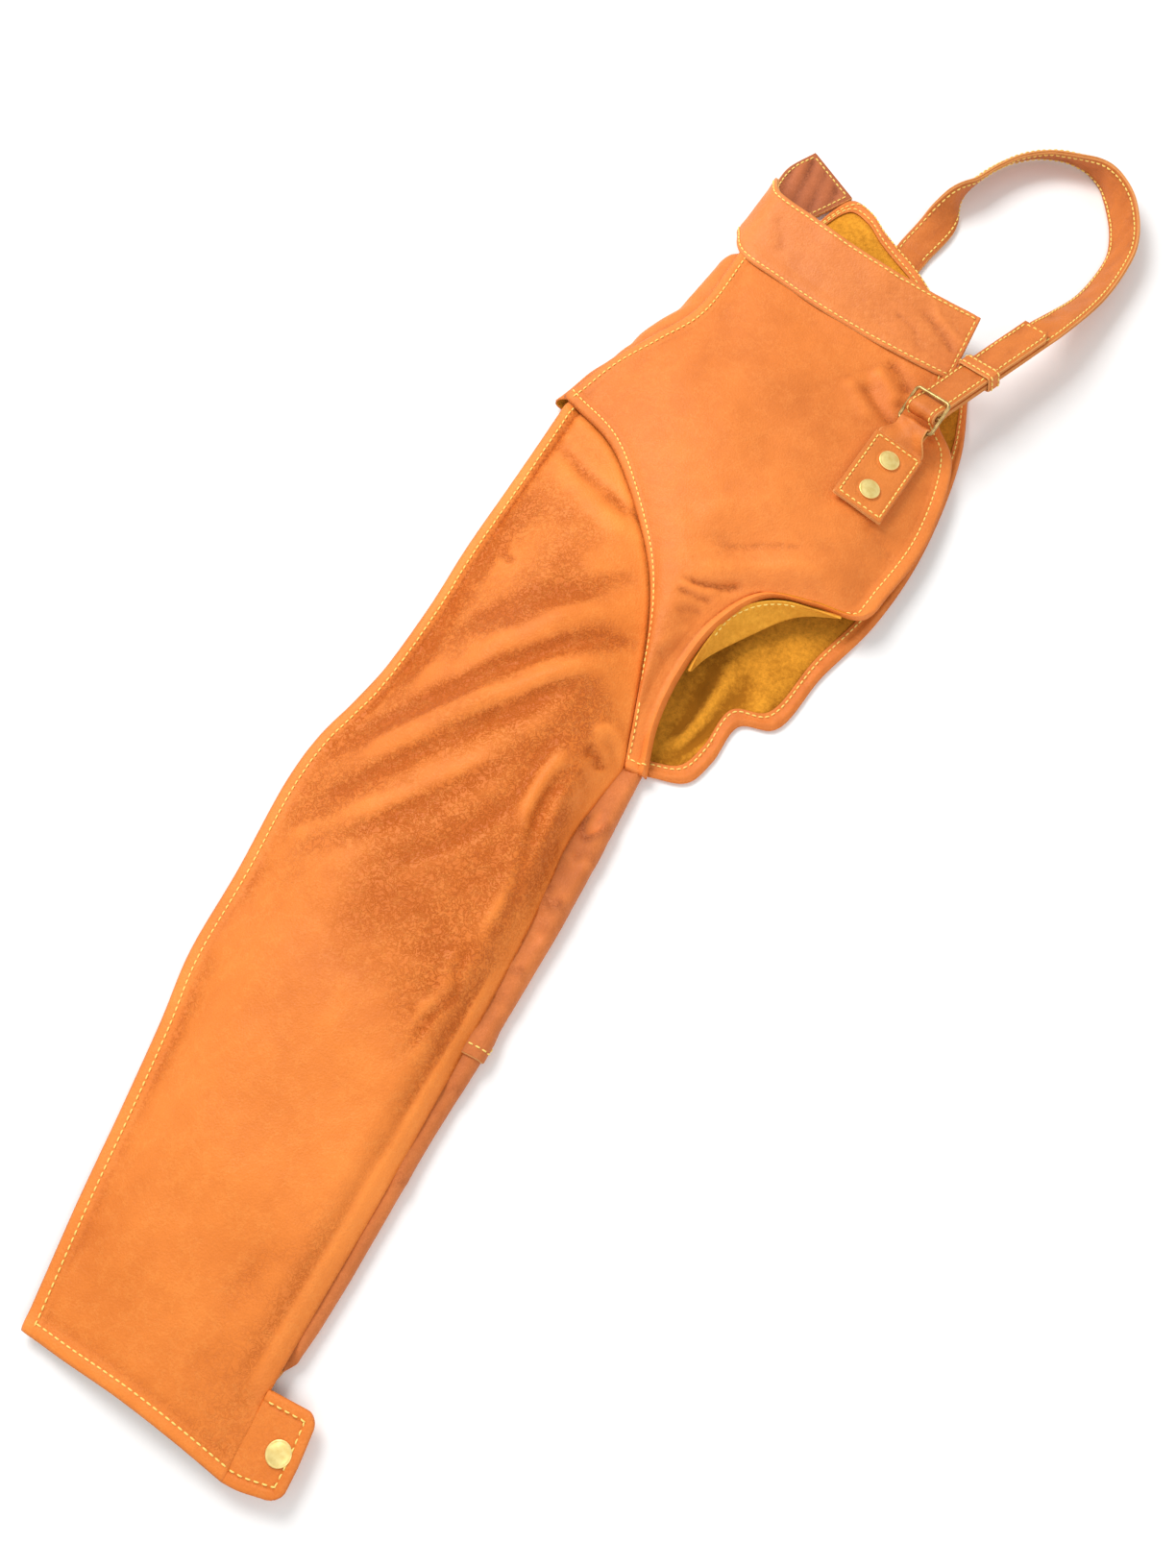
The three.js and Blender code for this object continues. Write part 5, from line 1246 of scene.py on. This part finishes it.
# The cuff tab: two layers that stand out from the hem's inner end. A frame of stitches runs round it,
# and one snap cap sits in the middle.
TAB_REACH, TAB_WIDE, TAB_CORNER = 32.0, 52.0, 8.0
TAB_SEAM = 0.0060
tab_low, tab_high = TAB_MIDDLE - TAB_WIDE / 2, TAB_MIDDLE + TAB_WIDE / 2
tab_end = TAB_ROOT + TAB_REACH
for name, z, layer in [("cuff_tab_outer", 13.0, 1), ("cuff_tab_lining", 10.9, 0)]:
    gx, gy = np.meshgrid(np.linspace(TAB_ROOT - 1.5, tab_end, 70), np.linspace(tab_low, tab_high, 100))
    beyond_x = np.maximum(gx - (tab_end - TAB_CORNER), 0)
    beyond_y = np.maximum(np.abs(gy - TAB_MIDDLE) - (TAB_WIDE / 2 - TAB_CORNER), 0)
    beyond = np.hypot(beyond_x, beyond_y)
    pull = np.where(beyond > TAB_CORNER, (beyond - TAB_CORNER) / np.maximum(beyond, 1e-9), 0)
    gx = gx - beyond_x * pull
    gy = gy - np.sign(gy - TAB_MIDDLE) * beyond_y * pull
    d = np.minimum(np.minimum(tab_end - gx, gy - tab_low), tab_high - gy) * MM
    lower_side = 1 - smooth(gy, tab_low, tab_low + 26)
    gy = gy + 3.5 * smooth(gx, TAB_ROOT + 4, tab_end) * lower_side
    gx = gx - 2.0 * smooth(gy, 10, tab_high) * smooth(gx, TAB_ROOT + 14, tab_end)
    grid = np.stack([gx, gy, np.full(gx.shape, z)], -1) * MM + np.array(garment_origin)
    rise = 0.0006 * (1 - smooth(d, 0.004, 0.008)) - 0.0010 * np.clip(1 - d / 0.002, 0, 1) ** 2
    rise = (rise - 0.0006 * near_line(d, TAB_SEAM, 0.0012)) * layer
    rise += ripple(grid, 0.03, 91) * 0.0004 * smooth(gx, TAB_ROOT, TAB_ROOT + 8)
    grid[..., 2] += rise
    materials = [sleeve_leather, suede, sleeve_leather] if layer else [suede, sleeve_leather, sleeve_leather]
    # Painted shading on the tab's ripples, rounded edge and seam groove; the whole tab a little darker.
    piece, tab_face, _ = shell(name + "_leather", grid, LEATHER, materials, painted_fold_shading(rise) - 0.05)
    lay(piece, [name], None)
    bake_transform(piece)
    if layer:
        tab_lines = [inset(tab_face, "near", HEM, 0.0, 0.0065), inset(tab_face, "end", 0.0065, HEM, TAB_SEAM),
                     inset(tab_face, "far", TAB_SEAM, 0.002, 0.0065)]
        tab_stitching = sew("cuff_tab_stitching", tab_lines, None)
        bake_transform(tab_stitching)
cuff_cap_place = Matrix.Translation(Vector(at(TAB_ROOT + TAB_REACH * 0.62, TAB_MIDDLE, 10.1)))
cap("cuff_snap_cap_dome", cuff_cap_place, "cuff_tab", "cuff_snap_cap")
